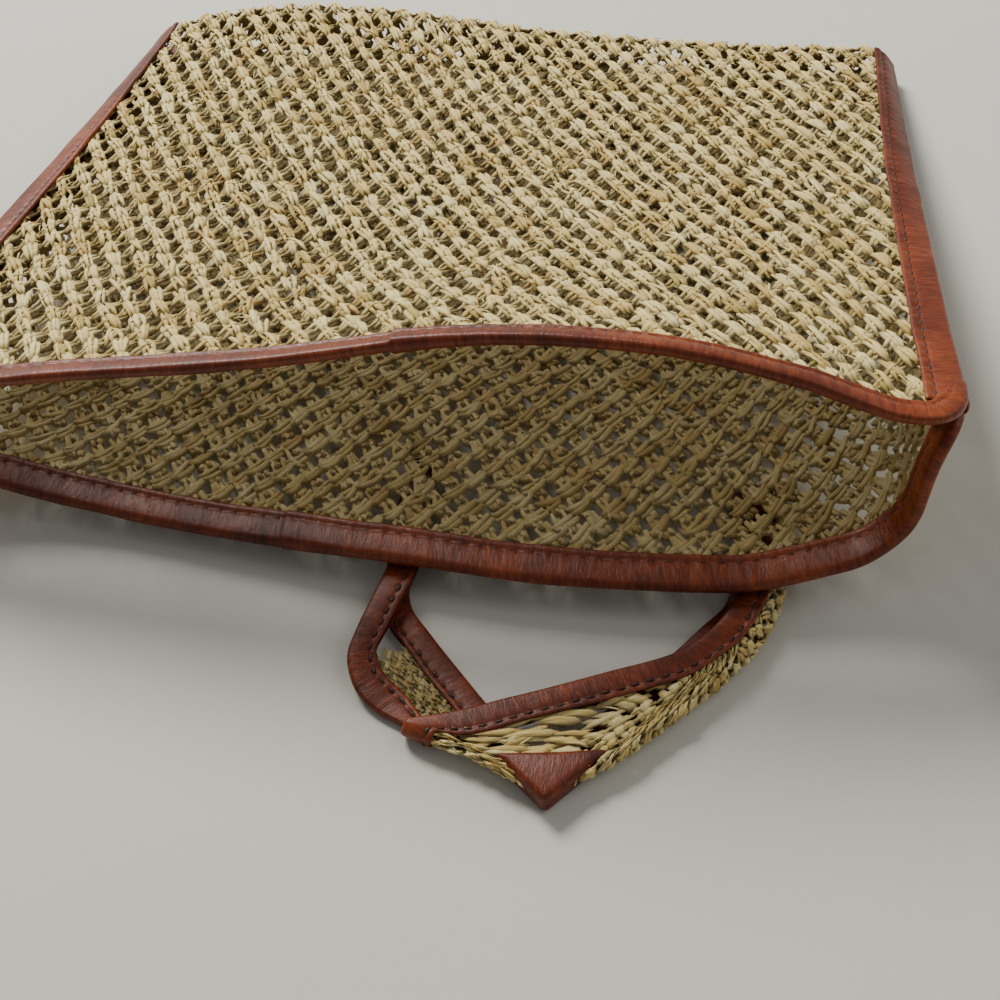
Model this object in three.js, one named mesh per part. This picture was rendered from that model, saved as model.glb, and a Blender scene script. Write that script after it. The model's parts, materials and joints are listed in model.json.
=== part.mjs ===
// Straw pouch bag lying on its back panel, mouth towards -Y, with one short flat handle.
// Units are millimetres, +Z is up, +X runs across the bag.
import * as THREE from 'three';
import { mergeVertices } from 'three/addons/utils/BufferGeometryUtils.js';

// Driving dimensions of the pouch
const foldWidth = 325;
const mouthReachRight = 166;
const mouthReachLeft = 187;
const panelLength = 275;
const lipBow = 20;
const strawWall = 2.4;
const seamAllowance = 8;
const cornerRiseRight = 70;
const cornerRiseLeft = 47;
const crestRise = 29;
const foldPuff = 20;
const mouthLift = 11.3;
const seamClear = 2.6;
const foldBulge = 0.45;

// Driving dimensions of the leather
const leatherWall = 1.2;
const bindingWidth = 12;
const fitGap = 0.3;

// Driving dimensions of the handle
const handleSpan = 130;
const handleReach = 72;
const handleFrom = 290;
const handleLeft = 12;
const handleStraw = 1.6;
const handleLeather = 1.0;
const handleFold = 2.6;
const layerGap = 0.7;
const handleLie = 0.15;

// Colours and finishes read from the photograph
const strawFinish = { color: 0xcdb98c, roughness: 0.85, metalness: 0 };
const leatherFinish = { color: 0x8a4326, roughness: 0.5, metalness: 0 };

// Front panel, shares across the bag from the left seam to the right one:
// arch of the rim above the corner line, and puff of the straw over the far fold.
const frontTable = [
  { at: -1.0, arch: 0.0, puff: 0.0 },
  { at: -0.93, arch: 0.11, puff: 0.42 },
  { at: -0.8, arch: 0.27, puff: 0.72 },
  { at: -0.55, arch: 0.48, puff: 1.0 },
  { at: -0.25, arch: 0.64, puff: 0.88 },
  { at: 0.1, arch: 0.9, puff: 0.58 },
  { at: 0.45, arch: 0.8, puff: 0.45 },
  { at: 0.7, arch: 0.45, puff: 0.42 },
  { at: 0.87, arch: 0.08, puff: 0.45 },
  { at: 0.95, arch: 0.02, puff: 0.4 },
  { at: 1.0, arch: 0.0, puff: 0.0 },
];

// Back panel at the mouth: how far out each share lies, how high it has turned up towards the
// corner, how much of the lift over the folded handle it takes, and how much of the lip's bow.
const backTable = [
  { at: -1.0, out: -1.0, turn: 1.0, lift: 0.0, bow: 0.0 },
  { at: -0.9, out: -0.915, turn: 0.64, lift: 0.0, bow: 0.0 },
  { at: -0.8, out: -0.82, turn: 0.42, lift: 0.05, bow: 0.0 },
  { at: -0.6, out: -0.62, turn: 0.17, lift: 0.2, bow: 0.08 },
  { at: -0.35, out: -0.37, turn: 0.03, lift: 0.6, bow: 0.38 },
  { at: -0.1, out: -0.08, turn: 0.0, lift: 1.0, bow: 0.72 },
  { at: 0.2, out: 0.3, turn: 0.0, lift: 1.0, bow: 0.97 },
  { at: 0.45, out: 0.63, turn: 0.0, lift: 1.0, bow: 0.9 },
  { at: 0.6, out: 0.81, turn: 0.08, lift: 0.9, bow: 0.6 },
  { at: 0.7, out: 0.88, turn: 0.2, lift: 0.55, bow: 0.38 },
  { at: 0.8, out: 0.935, turn: 0.42, lift: 0.2, bow: 0.17 },
  { at: 0.9, out: 0.96, turn: 0.8, lift: 0.0, bow: 0.02 },
  { at: 1.0, out: 1.0, turn: 1.0, lift: 0.0, bow: 0.0 },
];

const seamRisePower = 1.12;
const crestPower = 2.5;
const puffPower = 1.6;
const liftStart = 0.45;
const liftRun = 0.35;
const boxPower = 0.8;

function smoothStep(low, high, value) {
  const share = Math.min(1, Math.max(0, (value - low) / (high - low)));
  return share * share * (3 - 2 * share);
}

function mix(start, end, share) {
  return start + (end - start) * share;
}

// Smooth value of one named column of a table at a given place
function readTable(table, column, place) {
  let row = 0;
  while (row < table.length - 2 && place > table[row + 1].at) {
    row += 1;
  }
  const here = table[row];
  const next = table[row + 1];
  const before = table[Math.max(0, row - 1)];
  const after = table[Math.min(table.length - 1, row + 2)];
  const span = next.at - here.at;
  const share = Math.min(1, Math.max(0, (place - here.at) / span));
  const slopeHere = row === 0 ? (next[column] - here[column]) / span
    : (next[column] - before[column]) / (next.at - before.at);
  const slopeNext = row === table.length - 2 ? (next[column] - here[column]) / span
    : (after[column] - here[column]) / (after.at - here.at);
  const square = share * share;
  const cube = square * share;
  return (2 * cube - 3 * square + 1) * here[column] + (cube - 2 * square + share) * span * slopeHere
    + (3 * square - 2 * cube) * next[column] + (cube - square) * span * slopeNext;
}

function halfWidth(side, along) {
  return mix(foldWidth / 2, side > 0 ? mouthReachRight : mouthReachLeft, along);
}

function seamRise(side, along) {
  const corner = side > 0 ? cornerRiseRight : cornerRiseLeft;
  const low = strawWall + seamClear;
  return low + (corner - low) * Math.pow(Math.max(0, along), seamRisePower);
}

function seamLine(across, along) {
  return mix(seamRise(-1, along), seamRise(1, along), (across + 1) / 2);
}

// Across and height of the middle of the front panel's wall
function frontSection(across, along) {
  const arch = crestRise * readTable(frontTable, 'arch', across) * Math.pow(along, crestPower);
  const puff = foldPuff * readTable(frontTable, 'puff', across) * Math.pow(1 - along, puffPower);
  return [across * halfWidth(across, along), seamLine(across, along) + strawWall / 2 + arch + puff];
}

// Across and height of the middle of the back panel's wall
function backSection(across, along) {
  const box = Math.pow(along, boxPower);
  const out = mix(across, readTable(backTable, 'out', across), box);
  const turn = Math.max(0, readTable(backTable, 'turn', across));
  const lifted = smoothStep(liftStart, liftStart + liftRun, along);
  const lift = mouthLift * readTable(backTable, 'lift', across) * lifted;
  const rise = (seamRise(across, along) - strawWall) * turn;
  return [out * halfWidth(across, along), strawWall / 2 + rise + lift];
}

const sectionOf = { front: frontSection, back: backSection };
const walkSteps = 24;

// Length of a panel's straw from the fold to its rim: the back panel's lip sags outwards
function panelReach(panel, across) {
  return panel === 'back' ? panelLength + lipBow * readTable(backTable, 'bow', across) : panelLength;
}

// Point on the middle of a panel: the straw's length from the fold is kept along every line
function panelPoint(panel, across, along) {
  const section = sectionOf[panel];
  const length = panelReach(panel, across);
  let depth = 0;
  let last = section(across, 0);
  const steps = Math.max(1, Math.round(walkSteps * Math.abs(along)));
  for (let step = 1; step <= steps; step += 1) {
    const next = section(across, Math.min(1, along) * step / steps);
    const travel = length * Math.min(1, along) / steps;
    const drop = Math.hypot(next[0] - last[0], next[1] - last[1]);
    depth += Math.sqrt(Math.max(0.04 * travel * travel, travel * travel - drop * drop));
    last = next;
  }
  return new THREE.Vector3(last[0], -depth - length * Math.max(0, along - 1), last[1]);
}

// Unit normal of a panel, pointing out of the bag
function panelNormal(panel, across, along) {
  const reach = 0.004;
  const left = panelPoint(panel, Math.max(-1, across - reach), along);
  const right = panelPoint(panel, Math.min(1, across + reach), along);
  const inner = panelPoint(panel, across, Math.max(0.001, along - reach));
  const outer = panelPoint(panel, across, Math.min(1, along + reach));
  const normal = right.sub(left).cross(inner.sub(outer)).normalize();
  return panel === 'front' ? normal : normal.negate();
}

function offsetPoint(panel, across, along, distance) {
  const point = panelPoint(panel, across, along);
  return point.addScaledVector(panelNormal(panel, across, Math.min(1, along)), distance);
}

// Closed solid through equal rings of points. Both end rings get a cap made from the same
// triangles, so they are either flat or, when the ring has closed up to a line, empty.
function solidThroughRings(rings, capFaces) {
  const count = rings[0].length;
  const positions = rings.flatMap((ring) => ring.flatMap((point) => [point.x, point.y, point.z]));
  const faces = [];
  for (let ring = 0; ring < rings.length - 1; ring += 1) {
    for (let spot = 0; spot < count; spot += 1) {
      const next = (spot + 1) % count;
      const here = ring * count;
      const there = (ring + 1) * count;
      faces.push([here + spot, there + next, here + next], [here + spot, there + spot, there + next]);
    }
  }
  const end = (rings.length - 1) * count;
  capFaces.forEach(([a, b, c]) => faces.push([a, b, c], [end + a, end + c, end + b]));
  return closedGeometry(positions, faces);
}

// Geometry with shared corners, empty triangles left out and all faces turned outward
function closedGeometry(positions, faces) {
  const soup = new THREE.BufferGeometry();
  soup.setAttribute('position', new THREE.Float32BufferAttribute(positions, 3));
  soup.setIndex(faces.flat());
  const merged = mergeVertices(soup, 1e-4);
  const corners = merged.getAttribute('position');
  const corner = (index) => new THREE.Vector3().fromBufferAttribute(corners, index);
  const kept = [];
  let volume = 0;
  for (let face = 0; face < merged.index.count; face += 3) {
    const trio = [0, 1, 2].map((offset) => merged.index.getX(face + offset));
    if (new Set(trio).size === 3) {
      kept.push(trio);
      volume += corner(trio[0]).dot(corner(trio[1]).cross(corner(trio[2])));
    }
  }
  merged.setIndex(kept.flatMap(([a, b, c]) => (volume > 0 ? [a, b, c] : [a, c, b])));
  merged.computeVertexNormals();
  return merged;
}

// Cap triangles of a ring that runs along one side of a sheet and back along the other
function sheetCap(count) {
  const faces = [];
  for (let spot = 0; spot < count / 2 - 1; spot += 1) {
    const far = count - 1 - spot;
    faces.push([spot, spot + 1, far], [spot + 1, far - 1, far]);
  }
  return faces;
}

function meshOf(name, geometry, finish) {
  const mesh = new THREE.Mesh(geometry, new THREE.MeshStandardMaterial(finish));
  mesh.name = name;
  return mesh;
}

const acrossStations = [-1, -0.965, -0.93, -0.88, -0.82, -0.74, -0.64, -0.52, -0.38, -0.22, -0.05,
  0.12, 0.28, 0.44, 0.58, 0.68, 0.76, 0.83, 0.89, 0.93, 0.965, 1];
const alongStations = [0, 0.035, 0.08, 0.14, 0.21, 0.29, 0.37, 0.45, 0.53, 0.61, 0.69, 0.77, 0.85, 0.91, 0.96, 1];
const evenStations = 0.89;
const foldTurns = [Math.PI / 2, Math.PI / 3, Math.PI / 6];

// The inner skin keeps the same stations as the outer one, except near the seams where it
// closes up to the seam allowance
function innerShare(share, along) {
  const size = Math.abs(share);
  const limit = 1 - seamAllowance / halfWidth(share, along);
  const past = Math.max(0, size - evenStations) / (1 - evenStations);
  return Math.sign(share) * (size > evenStations ? mix(evenStations, limit, past) : size);
}

// One ring of the straw's skin: along the front from left to right and back along the back.
// Past the fold the two panels close up in an arc; the inner skin stops short of the seams.
function strawRing(along, turn, inner) {
  const distance = inner ? -strawWall / 2 : strawWall / 2;
  const points = { front: [], back: [] };
  acrossStations.forEach((share) => {
    const across = inner ? innerShare(share, along) : share;
    points.front.push(offsetPoint('front', across, along, distance));
    points.back.push(offsetPoint('back', across, along, distance));
  });
  if (along === 0) {
    points.front.forEach((front, spot) => {
      const back = points.back[spot];
      const middle = (front.z + back.z) / 2;
      const half = (front.z - back.z) / 2;
      const depth = half * foldBulge * Math.sin(turn) - (inner ? strawWall * (1 - foldBulge) : 0);
      front.set(mix(front.x, back.x, Math.sin(turn) / 2), depth, middle + half * Math.cos(turn));
      back.set(mix(back.x, front.x, Math.sin(turn)), depth, middle - half * Math.cos(turn));
      if (turn === Math.PI / 2) {
        back.copy(front);
      }
    });
  }
  return [...points.front, ...points.back.reverse()];
}

function strawBody() {
  const outer = [...foldTurns.map((turn) => strawRing(0, turn, false)),
    ...alongStations.map((along) => strawRing(along, 0, false))];
  const inner = [...foldTurns.map((turn) => strawRing(0, turn, true)),
    ...alongStations.map((along) => strawRing(along, 0, true))];
  const rings = [...outer, ...inner.reverse()];
  return meshOf('straw_body', solidThroughRings(rings, []), strawFinish);
}

// Leather folded round a side seam: a channel that covers the edge of both panels
const sideShares = [1, 0.5, 0];

function sideRing(side, along) {
  const reach = Math.min(1, along);
  const skin = (distance, edgeGap) => {
    const points = [];
    const place = (panel, share) => {
      const across = side * (1 - (share * bindingWidth) / halfWidth(side, reach));
      const point = offsetPoint(panel, across, along, strawWall / 2 + distance);
      point.x += share === 0 ? side * edgeGap : 0;
      points.push(point);
    };
    sideShares.forEach((share) => place('front', share));
    [...sideShares].reverse().forEach((share) => place('back', share));
    return points;
  };
  return [...skin(fitGap, fitGap), ...skin(fitGap + leatherWall, fitGap + leatherWall).reverse()];
}

function sideBinding(name, side) {
  const past = 1 + (fitGap + leatherWall) / panelLength;
  const rings = [...alongStations, past].map((along) => sideRing(side, along));
  return meshOf(name, solidThroughRings(rings, sheetCap(rings[0].length)), leatherFinish);
}

// Leather folded over the rim of one panel, between the two side bindings
const rimShares = [1, 0];

function rimRing(panel, across) {
  const skin = (distance, edgeGap) => {
    const points = [];
    const place = (outward, share) => {
      const along = 1 - (share * bindingWidth) / panelLength;
      const point = offsetPoint(panel, across, along, outward * (strawWall / 2 + distance));
      if (share === 0) {
        const run = panelPoint(panel, across, 1).sub(panelPoint(panel, across, 1 - bindingWidth / panelLength));
        point.addScaledVector(run.normalize(), edgeGap);
      }
      points.push(point);
    };
    rimShares.forEach((share) => place(1, share));
    [...rimShares].reverse().forEach((share) => place(-1, share));
    return points;
  };
  return [...skin(fitGap, fitGap), ...skin(fitGap + leatherWall, fitGap + leatherWall).reverse()];
}

function rimBinding(name, panel) {
  const clear = bindingWidth + 2 * leatherWall;
  const even = acrossStations.filter((share) => Math.abs(share) <= evenStations);
  const ends = [-1, 1].map((side) => side * (1 - clear / halfWidth(side, 1)));
  const rings = [ends[0], ...even, ends[1]].map((across) => rimRing(panel, across));
  return meshOf(name, solidThroughRings(rings, sheetCap(rings[0].length)), leatherFinish);
}

// Handle, a strip of straw with a binding on each edge that lies folded flat beyond the mouth.
// Each entry is [share of the span, share of the reach, layer above the table]. The left arm
// lies under, then the outer binding creases over the lower corner and runs back on top.
const leftArm = [
  { place: 'root', outerEdge: [0.03, -0.65, 1], outerSeam: [0.11, -0.65, 1],
    innerSeam: [0.03, -0.65, 0], innerEdge: [0.11, -0.65, 0] },
  { place: 'rim', outerEdge: [0.04, -0.05, 1], outerSeam: [0.12, -0.03, 1],
    innerSeam: [0.035, -0.08, 0], innerEdge: [0.115, -0.055, 0] },
  { place: 'neck', outerEdge: [0.02, 0.14, 1], outerSeam: [0.095, 0.165, 1],
    innerSeam: [0.04, 0.1, 0], innerEdge: [0.11, 0.055, 0] },
  { place: 'gap', outerEdge: [0, 0.305, 0.95], outerSeam: [0.075, 0.305, 0.92],
    innerSeam: [0.07, 0.235, 0], innerEdge: [0.125, 0.145, 0] },
  { place: 'pucker', outerEdge: [-0.01, 0.46, 0.7], outerSeam: [0.06, 0.415, 0.6],
    innerSeam: [0.12, 0.345, 0], innerEdge: [0.175, 0.255, 0] },
  { place: 'bend', outerEdge: [0.025, 0.605, 0.3], outerSeam: [0.085, 0.5, 0.2],
    innerSeam: [0.185, 0.485, 0], innerEdge: [0.245, 0.395, 0] },
  { place: 'low', outerEdge: [0.09, 0.7, 0], outerSeam: [0.145, 0.59, 0],
    innerSeam: [0.255, 0.625, 0], innerEdge: [0.315, 0.54, 0] },
  { place: 'crease', outerEdge: [0.15, 0.735, 0], outerSeam: [0.235, 0.785, 0], fold: [0.325, 0.82, 0],
    innerSeam: [0.32, 0.745, 0], innerEdge: [0.375, 0.655, 0] },
];
const rightArm = [
  { place: 'crease', outerEdge: [0.16, 0.745, 1], outerSeam: [0.24, 0.8, 1], fold: [0.42, 0.95, 0.5],
    innerSeam: [0.4, 0.85, 0], innerEdge: [0.445, 0.75, 0] },
  { place: 'front left', outerEdge: [0.275, 0.68, 1], outerSeam: [0.31, 0.805, 1], fold: [0.465, 0.985, 0.5],
    innerSeam: [0.46, 0.92, 0], innerEdge: [0.475, 0.785, 0] },
  { place: 'front', outerEdge: [0.44, 0.56, 1], outerSeam: [0.475, 0.685, 1], fold: [0.505, 1, 0.5],
    innerSeam: [0.5, 0.935, 0], innerEdge: [0.495, 0.8, 0] },
  { place: 'front right', outerEdge: [0.615, 0.42, 1], outerSeam: [0.655, 0.545, 1], fold: [0.55, 0.97, 0.5],
    innerSeam: [0.535, 0.905, 0], innerEdge: [0.515, 0.775, 0] },
  { place: 'roll', outerEdge: [0.755, 0.31, 1], outerSeam: [0.8, 0.42, 1], fold: [0.62, 0.885, 0.5],
    innerSeam: [0.59, 0.825, 0], innerEdge: [0.545, 0.72, 0] },
  { place: 'rolled', outerEdge: [0.81, 0.235, 1], outerSeam: [0.87, 0.315, 1], fold: [0.79, 0.59, 0.5],
    innerSeam: [0.68, 0.65, 0], innerEdge: [0.615, 0.57, 0] },
  { place: 'elbow', outerEdge: [0.845, 0.16, 1], outerSeam: [0.915, 0.225, 1], fold: [0.925, 0.31, 0.5],
    innerSeam: [0.79, 0.42, 0], innerEdge: [0.72, 0.345, 0] },
  { place: 'neck', outerEdge: [0.875, 0.07, 1], outerSeam: [0.95, 0.105, 1], fold: [0.98, 0.15, 0.5],
    innerSeam: [0.885, 0.185, 0], innerEdge: [0.82, 0.115, 0] },
  { place: 'rim', outerEdge: [0.9, -0.06, 1], outerSeam: [0.98, -0.05, 1], fold: [1.015, -0.04, 0.5],
    innerSeam: [0.955, 0, 0], innerEdge: [0.88, -0.05, 0] },
  { place: 'root', outerEdge: [0.905, -0.65, 1], outerSeam: [0.985, -0.65, 1], fold: [1.02, -0.65, 0.5],
    innerSeam: [0.96, -0.65, 0], innerEdge: [0.88, -0.65, 0] },
];
const stepsPerRow = 3;
const creaseSteps = 8;
const strawStartRow = 4;

const handleThick = handleStraw + 2 * (fitGap + handleLeather);
const layerStep = handleThick + layerGap;

function handlePoint([across, out, layer]) {
  return new THREE.Vector3(handleSpan * across - handleLeft, -handleFrom - handleReach * out,
    handleLie + handleThick / 2 + layerStep * layer);
}

function smoothRun(points, steps) {
  const curve = new THREE.CatmullRomCurve3(points, false, 'centripetal');
  return curve.getPoints((points.length - 1) * steps);
}

// Stations between the last row of the left arm and the first of the right one, a half turn
// about the crease line
function creaseRun(start, end, bulge) {
  const points = [];
  for (let step = 1; step < creaseSteps; step += 1) {
    const turn = (Math.PI * step) / creaseSteps;
    const point = start.clone().lerp(end, (1 - Math.cos(turn)) / 2);
    points.push(point.addScaledVector(bulge, (Math.sin(turn) * (end.z - start.z)) / 2));
  }
  return points;
}

// Every named line of the handle as points at equal stations from the left root to the right one
function handleLines() {
  const column = (rows, name) => rows.map((row) => handlePoint(row[name]
    ?? row.outerSeam.map((value, axis) => (value + row.innerSeam[axis]) / 2)));
  const crease = leftArm[leftArm.length - 1];
  const ruling = handlePoint(crease.fold).sub(handlePoint(crease.outerEdge));
  const bulge = new THREE.Vector3(ruling.y, -ruling.x, 0).normalize();
  const lines = {};
  ['outerEdge', 'outerSeam', 'fold', 'innerSeam', 'innerEdge'].forEach((name) => {
    const under = smoothRun(column(leftArm, name), stepsPerRow);
    const over = smoothRun(column(rightArm, name), stepsPerRow);
    const turn = creaseRun(under[under.length - 1], over[0], bulge);
    lines[name] = [...under, ...turn, ...over];
  });
  return lines;
}

// Frames of one binding: across runs from its outer edge to its seam, up is the sheet's normal
function bindingFrames(edges, seams) {
  return edges.map((edge, spot) => {
    const before = Math.max(0, spot - 1);
    const after = Math.min(edges.length - 1, spot + 1);
    const travel = edges[after].clone().add(seams[after]).sub(edges[before]).sub(seams[before]);
    const across = seams[spot].clone().sub(edge);
    const width = across.length();
    across.normalize();
    return { edge, across, width, up: travel.cross(across).normalize() };
  });
}

function placeInFrame(frame, across, up) {
  return frame.edge.clone().addScaledVector(frame.across, across).addScaledVector(frame.up, up);
}

const slotDepth = 2.2;
const slotPoints = 2;
const noseRun = 1.1;

// A binding of the handle: leather with a slot along its seam side for the straw
function handleBinding(name, frames) {
  const high = handleThick / 2;
  const slot = handleStraw / 2 + fitGap;
  const profile = (width) => [[width, high], [noseRun, high], [noseRun / 4, high / 2],
    [noseRun / 4, -high / 2], [noseRun, -high], [width, -high],
    [width, -slot], [slotDepth, -slot], [slotDepth, slot], [width, slot]];
  const rings = frames.map((frame) => profile(frame.width)
    .map(([across, up]) => placeInFrame(frame, across, up)));
  const outline = profile(frames[0].width).map(([across, up]) => new THREE.Vector2(across, up));
  const cap = THREE.ShapeUtils.triangulateShape(outline, []);
  return meshOf(name, solidThroughRings(rings, cap), leatherFinish);
}

// The straw between the two bindings, from slot to slot and round the fold on the way
function handleStrip(lines, outer, inner) {
  const first = strawStartRow * stepsPerRow;
  const rings = [];
  const inSlot = slotDepth + fitGap;
  const path = (spot) => {
    const leave = lines.outerSeam[spot];
    const fold = lines.fold[spot];
    const arrive = lines.innerSeam[spot];
    const beside = (seam) => {
      const flat = new THREE.Vector3(seam.x - fold.x, seam.y - fold.y, 0);
      const share = Math.min(0.6, handleFold / flat.length());
      return new THREE.Vector3(fold.x, fold.y, seam.z).addScaledVector(flat, share);
    };
    const before = beside(leave);
    const after = beside(arrive);
    return [placeInFrame(outer[spot], inSlot, 0), leave, leave.clone().lerp(before, 0.5), before, fold,
      after, after.clone().lerp(arrive, 0.5), arrive, placeInFrame(inner[spot], inSlot, 0)];
  };
  for (let spot = first; spot < lines.fold.length; spot += 1) {
    const here = path(spot);
    const ahead = path(Math.min(spot + 1, lines.fold.length - 1));
    const behind = path(Math.max(spot - 1, first));
    const last = here.length - 1;
    const normals = here.map((point, place) => {
      if (place < slotPoints) return outer[spot].up.clone();
      if (place > last - slotPoints) return inner[spot].up.clone().negate();
      const across = here[place + 1].clone().sub(here[place - 1]);
      const travel = ahead[place].clone().sub(behind[place]);
      return travel.cross(across).normalize();
    });
    const top = here.map((point, place) => point.clone().addScaledVector(normals[place], handleStraw / 2));
    const under = here.map((point, place) => point.clone().addScaledVector(normals[place], -handleStraw / 2));
    rings.push([...top, ...under.reverse()]);
  }
  return meshOf('handle_strip', solidThroughRings(rings, sheetCap(rings[0].length)), strawFinish);
}

const handle = handleLines();
const outerFrames = bindingFrames(handle.outerEdge, handle.outerSeam);
const innerFrames = bindingFrames(handle.innerEdge, handle.innerSeam);

const group = new THREE.Group();
group.name = 'straw_bag';
group.add(
  strawBody(),
  sideBinding('side_binding_left', -1),
  sideBinding('side_binding_right', 1),
  rimBinding('rim_binding_front', 'front'),
  rimBinding('rim_binding_back', 'back'),
  handleStrip(handle, outerFrames, innerFrames),
  handleBinding('handle_binding_outer', outerFrames),
  handleBinding('handle_binding_inner', innerFrames),
);

// The origin is the middle of the footprint, on the table
const bounds = new THREE.Box3().setFromObject(group);
const centre = bounds.getCenter(new THREE.Vector3());
group.children.forEach((mesh) => mesh.geometry.translate(-centre.x, -centre.y, -bounds.min.z));

export default group;
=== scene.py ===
"""Looks of the straw pouch bag: a net of twisted straw, leather bindings and a short folded handle."""

import json
import logging
import math
from dataclasses import dataclass, field
from enum import Enum

import bpy
import bmesh
import numpy as np
from mathutils import Matrix, Vector

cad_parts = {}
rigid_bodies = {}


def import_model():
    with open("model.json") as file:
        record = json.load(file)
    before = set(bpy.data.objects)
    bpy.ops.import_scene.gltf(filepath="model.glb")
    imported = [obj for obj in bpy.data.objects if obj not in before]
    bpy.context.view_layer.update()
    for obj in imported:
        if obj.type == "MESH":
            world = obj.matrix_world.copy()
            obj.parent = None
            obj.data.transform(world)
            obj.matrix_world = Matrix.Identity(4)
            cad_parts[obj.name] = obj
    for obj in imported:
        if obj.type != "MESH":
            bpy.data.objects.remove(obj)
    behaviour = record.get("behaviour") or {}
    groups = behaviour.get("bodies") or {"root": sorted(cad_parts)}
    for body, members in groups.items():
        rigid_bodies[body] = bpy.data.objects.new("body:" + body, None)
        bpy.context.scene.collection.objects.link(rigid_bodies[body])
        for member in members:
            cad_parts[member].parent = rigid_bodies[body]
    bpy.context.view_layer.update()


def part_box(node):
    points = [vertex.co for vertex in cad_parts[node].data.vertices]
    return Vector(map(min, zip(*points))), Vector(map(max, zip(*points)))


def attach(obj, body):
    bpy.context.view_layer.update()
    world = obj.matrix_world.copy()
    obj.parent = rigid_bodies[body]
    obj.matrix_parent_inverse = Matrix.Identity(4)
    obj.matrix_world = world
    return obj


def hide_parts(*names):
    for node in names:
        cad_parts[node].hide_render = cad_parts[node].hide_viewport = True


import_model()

LOG = logging.getLogger("straw_bag")
MM = 0.001
ROOT = "root"
TABLE_CLEAR = 0.0001

Array = np.ndarray
Piece = bpy.types.Object
Socket = bpy.types.NodeSocket
Tree = bpy.types.NodeTree


class Side(Enum):
    """The two seams of the pouch, by their sign along X."""

    LEFT = -1
    RIGHT = 1


class Panel(Enum):
    """The two panels of the pouch."""

    FRONT = "front"
    BACK = "back"


# Shape of the pouch, in shares across it from the left seam to the right one.
FRONT_PROFILE = {
    "at": (-1.0, -0.93, -0.8, -0.55, -0.25, 0.1, 0.45, 0.7, 0.87, 0.95, 1.0),
    "arch": (0.0, 0.11, 0.27, 0.48, 0.64, 0.9, 0.8, 0.45, 0.08, 0.02, 0.0),
    "puff": (0.0, 0.42, 0.72, 1.0, 0.88, 0.58, 0.45, 0.42, 0.45, 0.4, 0.0),
}
BACK_PROFILE = {
    "at": (-1.0, -0.9, -0.8, -0.6, -0.35, -0.1, 0.2, 0.45, 0.6, 0.7, 0.8, 0.9, 1.0),
    "out": (-1.0, -0.915, -0.82, -0.62, -0.37, -0.08, 0.3, 0.63, 0.81, 0.88, 0.935, 0.96, 1.0),
    "turn": (1.0, 0.64, 0.42, 0.17, 0.03, 0.0, 0.0, 0.0, 0.08, 0.2, 0.42, 0.8, 1.0),
    "lift": (0.0, 0.0, 0.05, 0.2, 0.6, 1.0, 1.0, 1.0, 0.9, 0.55, 0.2, 0.0, 0.0),
    "bow": (0.0, 0.0, 0.0, 0.08, 0.38, 0.72, 0.97, 0.9, 0.6, 0.38, 0.17, 0.02, 0.0),
}


def smooth_column(table: dict, column: str, place: Array) -> Array:
    """Reads one column of a profile smoothly.

    Args:
        table: Named columns, with "at" as the place of each row.
        column: The column to read.
        place: Places to read it at.

    Returns:
        The column's value at each place.
    """
    at = np.array(table["at"])
    value = np.array(table[column])
    slope = np.empty_like(value)
    slope[1:-1] = (value[2:] - value[:-2]) / (at[2:] - at[:-2])
    slope[0] = (value[1] - value[0]) / (at[1] - at[0])
    slope[-1] = (value[-1] - value[-2]) / (at[-1] - at[-2])
    row = np.clip(np.searchsorted(at, place, side="left") - 1, 0, len(at) - 2)
    span = at[row + 1] - at[row]
    share = np.clip((place - at[row]) / span, 0, 1)
    square, cube = share**2, share**3
    return (
        (2 * cube - 3 * square + 1) * value[row]
        + (cube - 2 * square + share) * span * slope[row]
        + (3 * square - 2 * cube) * value[row + 1]
        + (cube - square) * span * slope[row + 1]
    )


def travelled(line: Array) -> Array:
    """Distance from the start of a line to each of its points."""
    return np.concatenate([[0], np.cumsum(np.linalg.norm(np.diff(line, axis=0), axis=1))])


def resampled(line: Array, at: Array, places: Array) -> Array:
    """Points of a line at new places, where its own points lie at the places given by at."""
    return np.stack([np.interp(places, at, line[:, axis]) for axis in range(line.shape[1])], axis=1)


def smooth_step(low: float, high: float, value: Array) -> Array:
    """Smooth rise from 0 at low to 1 at high."""
    share = np.clip((value - low) / (high - low), 0, 1)
    return share * share * (3 - 2 * share)


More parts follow.
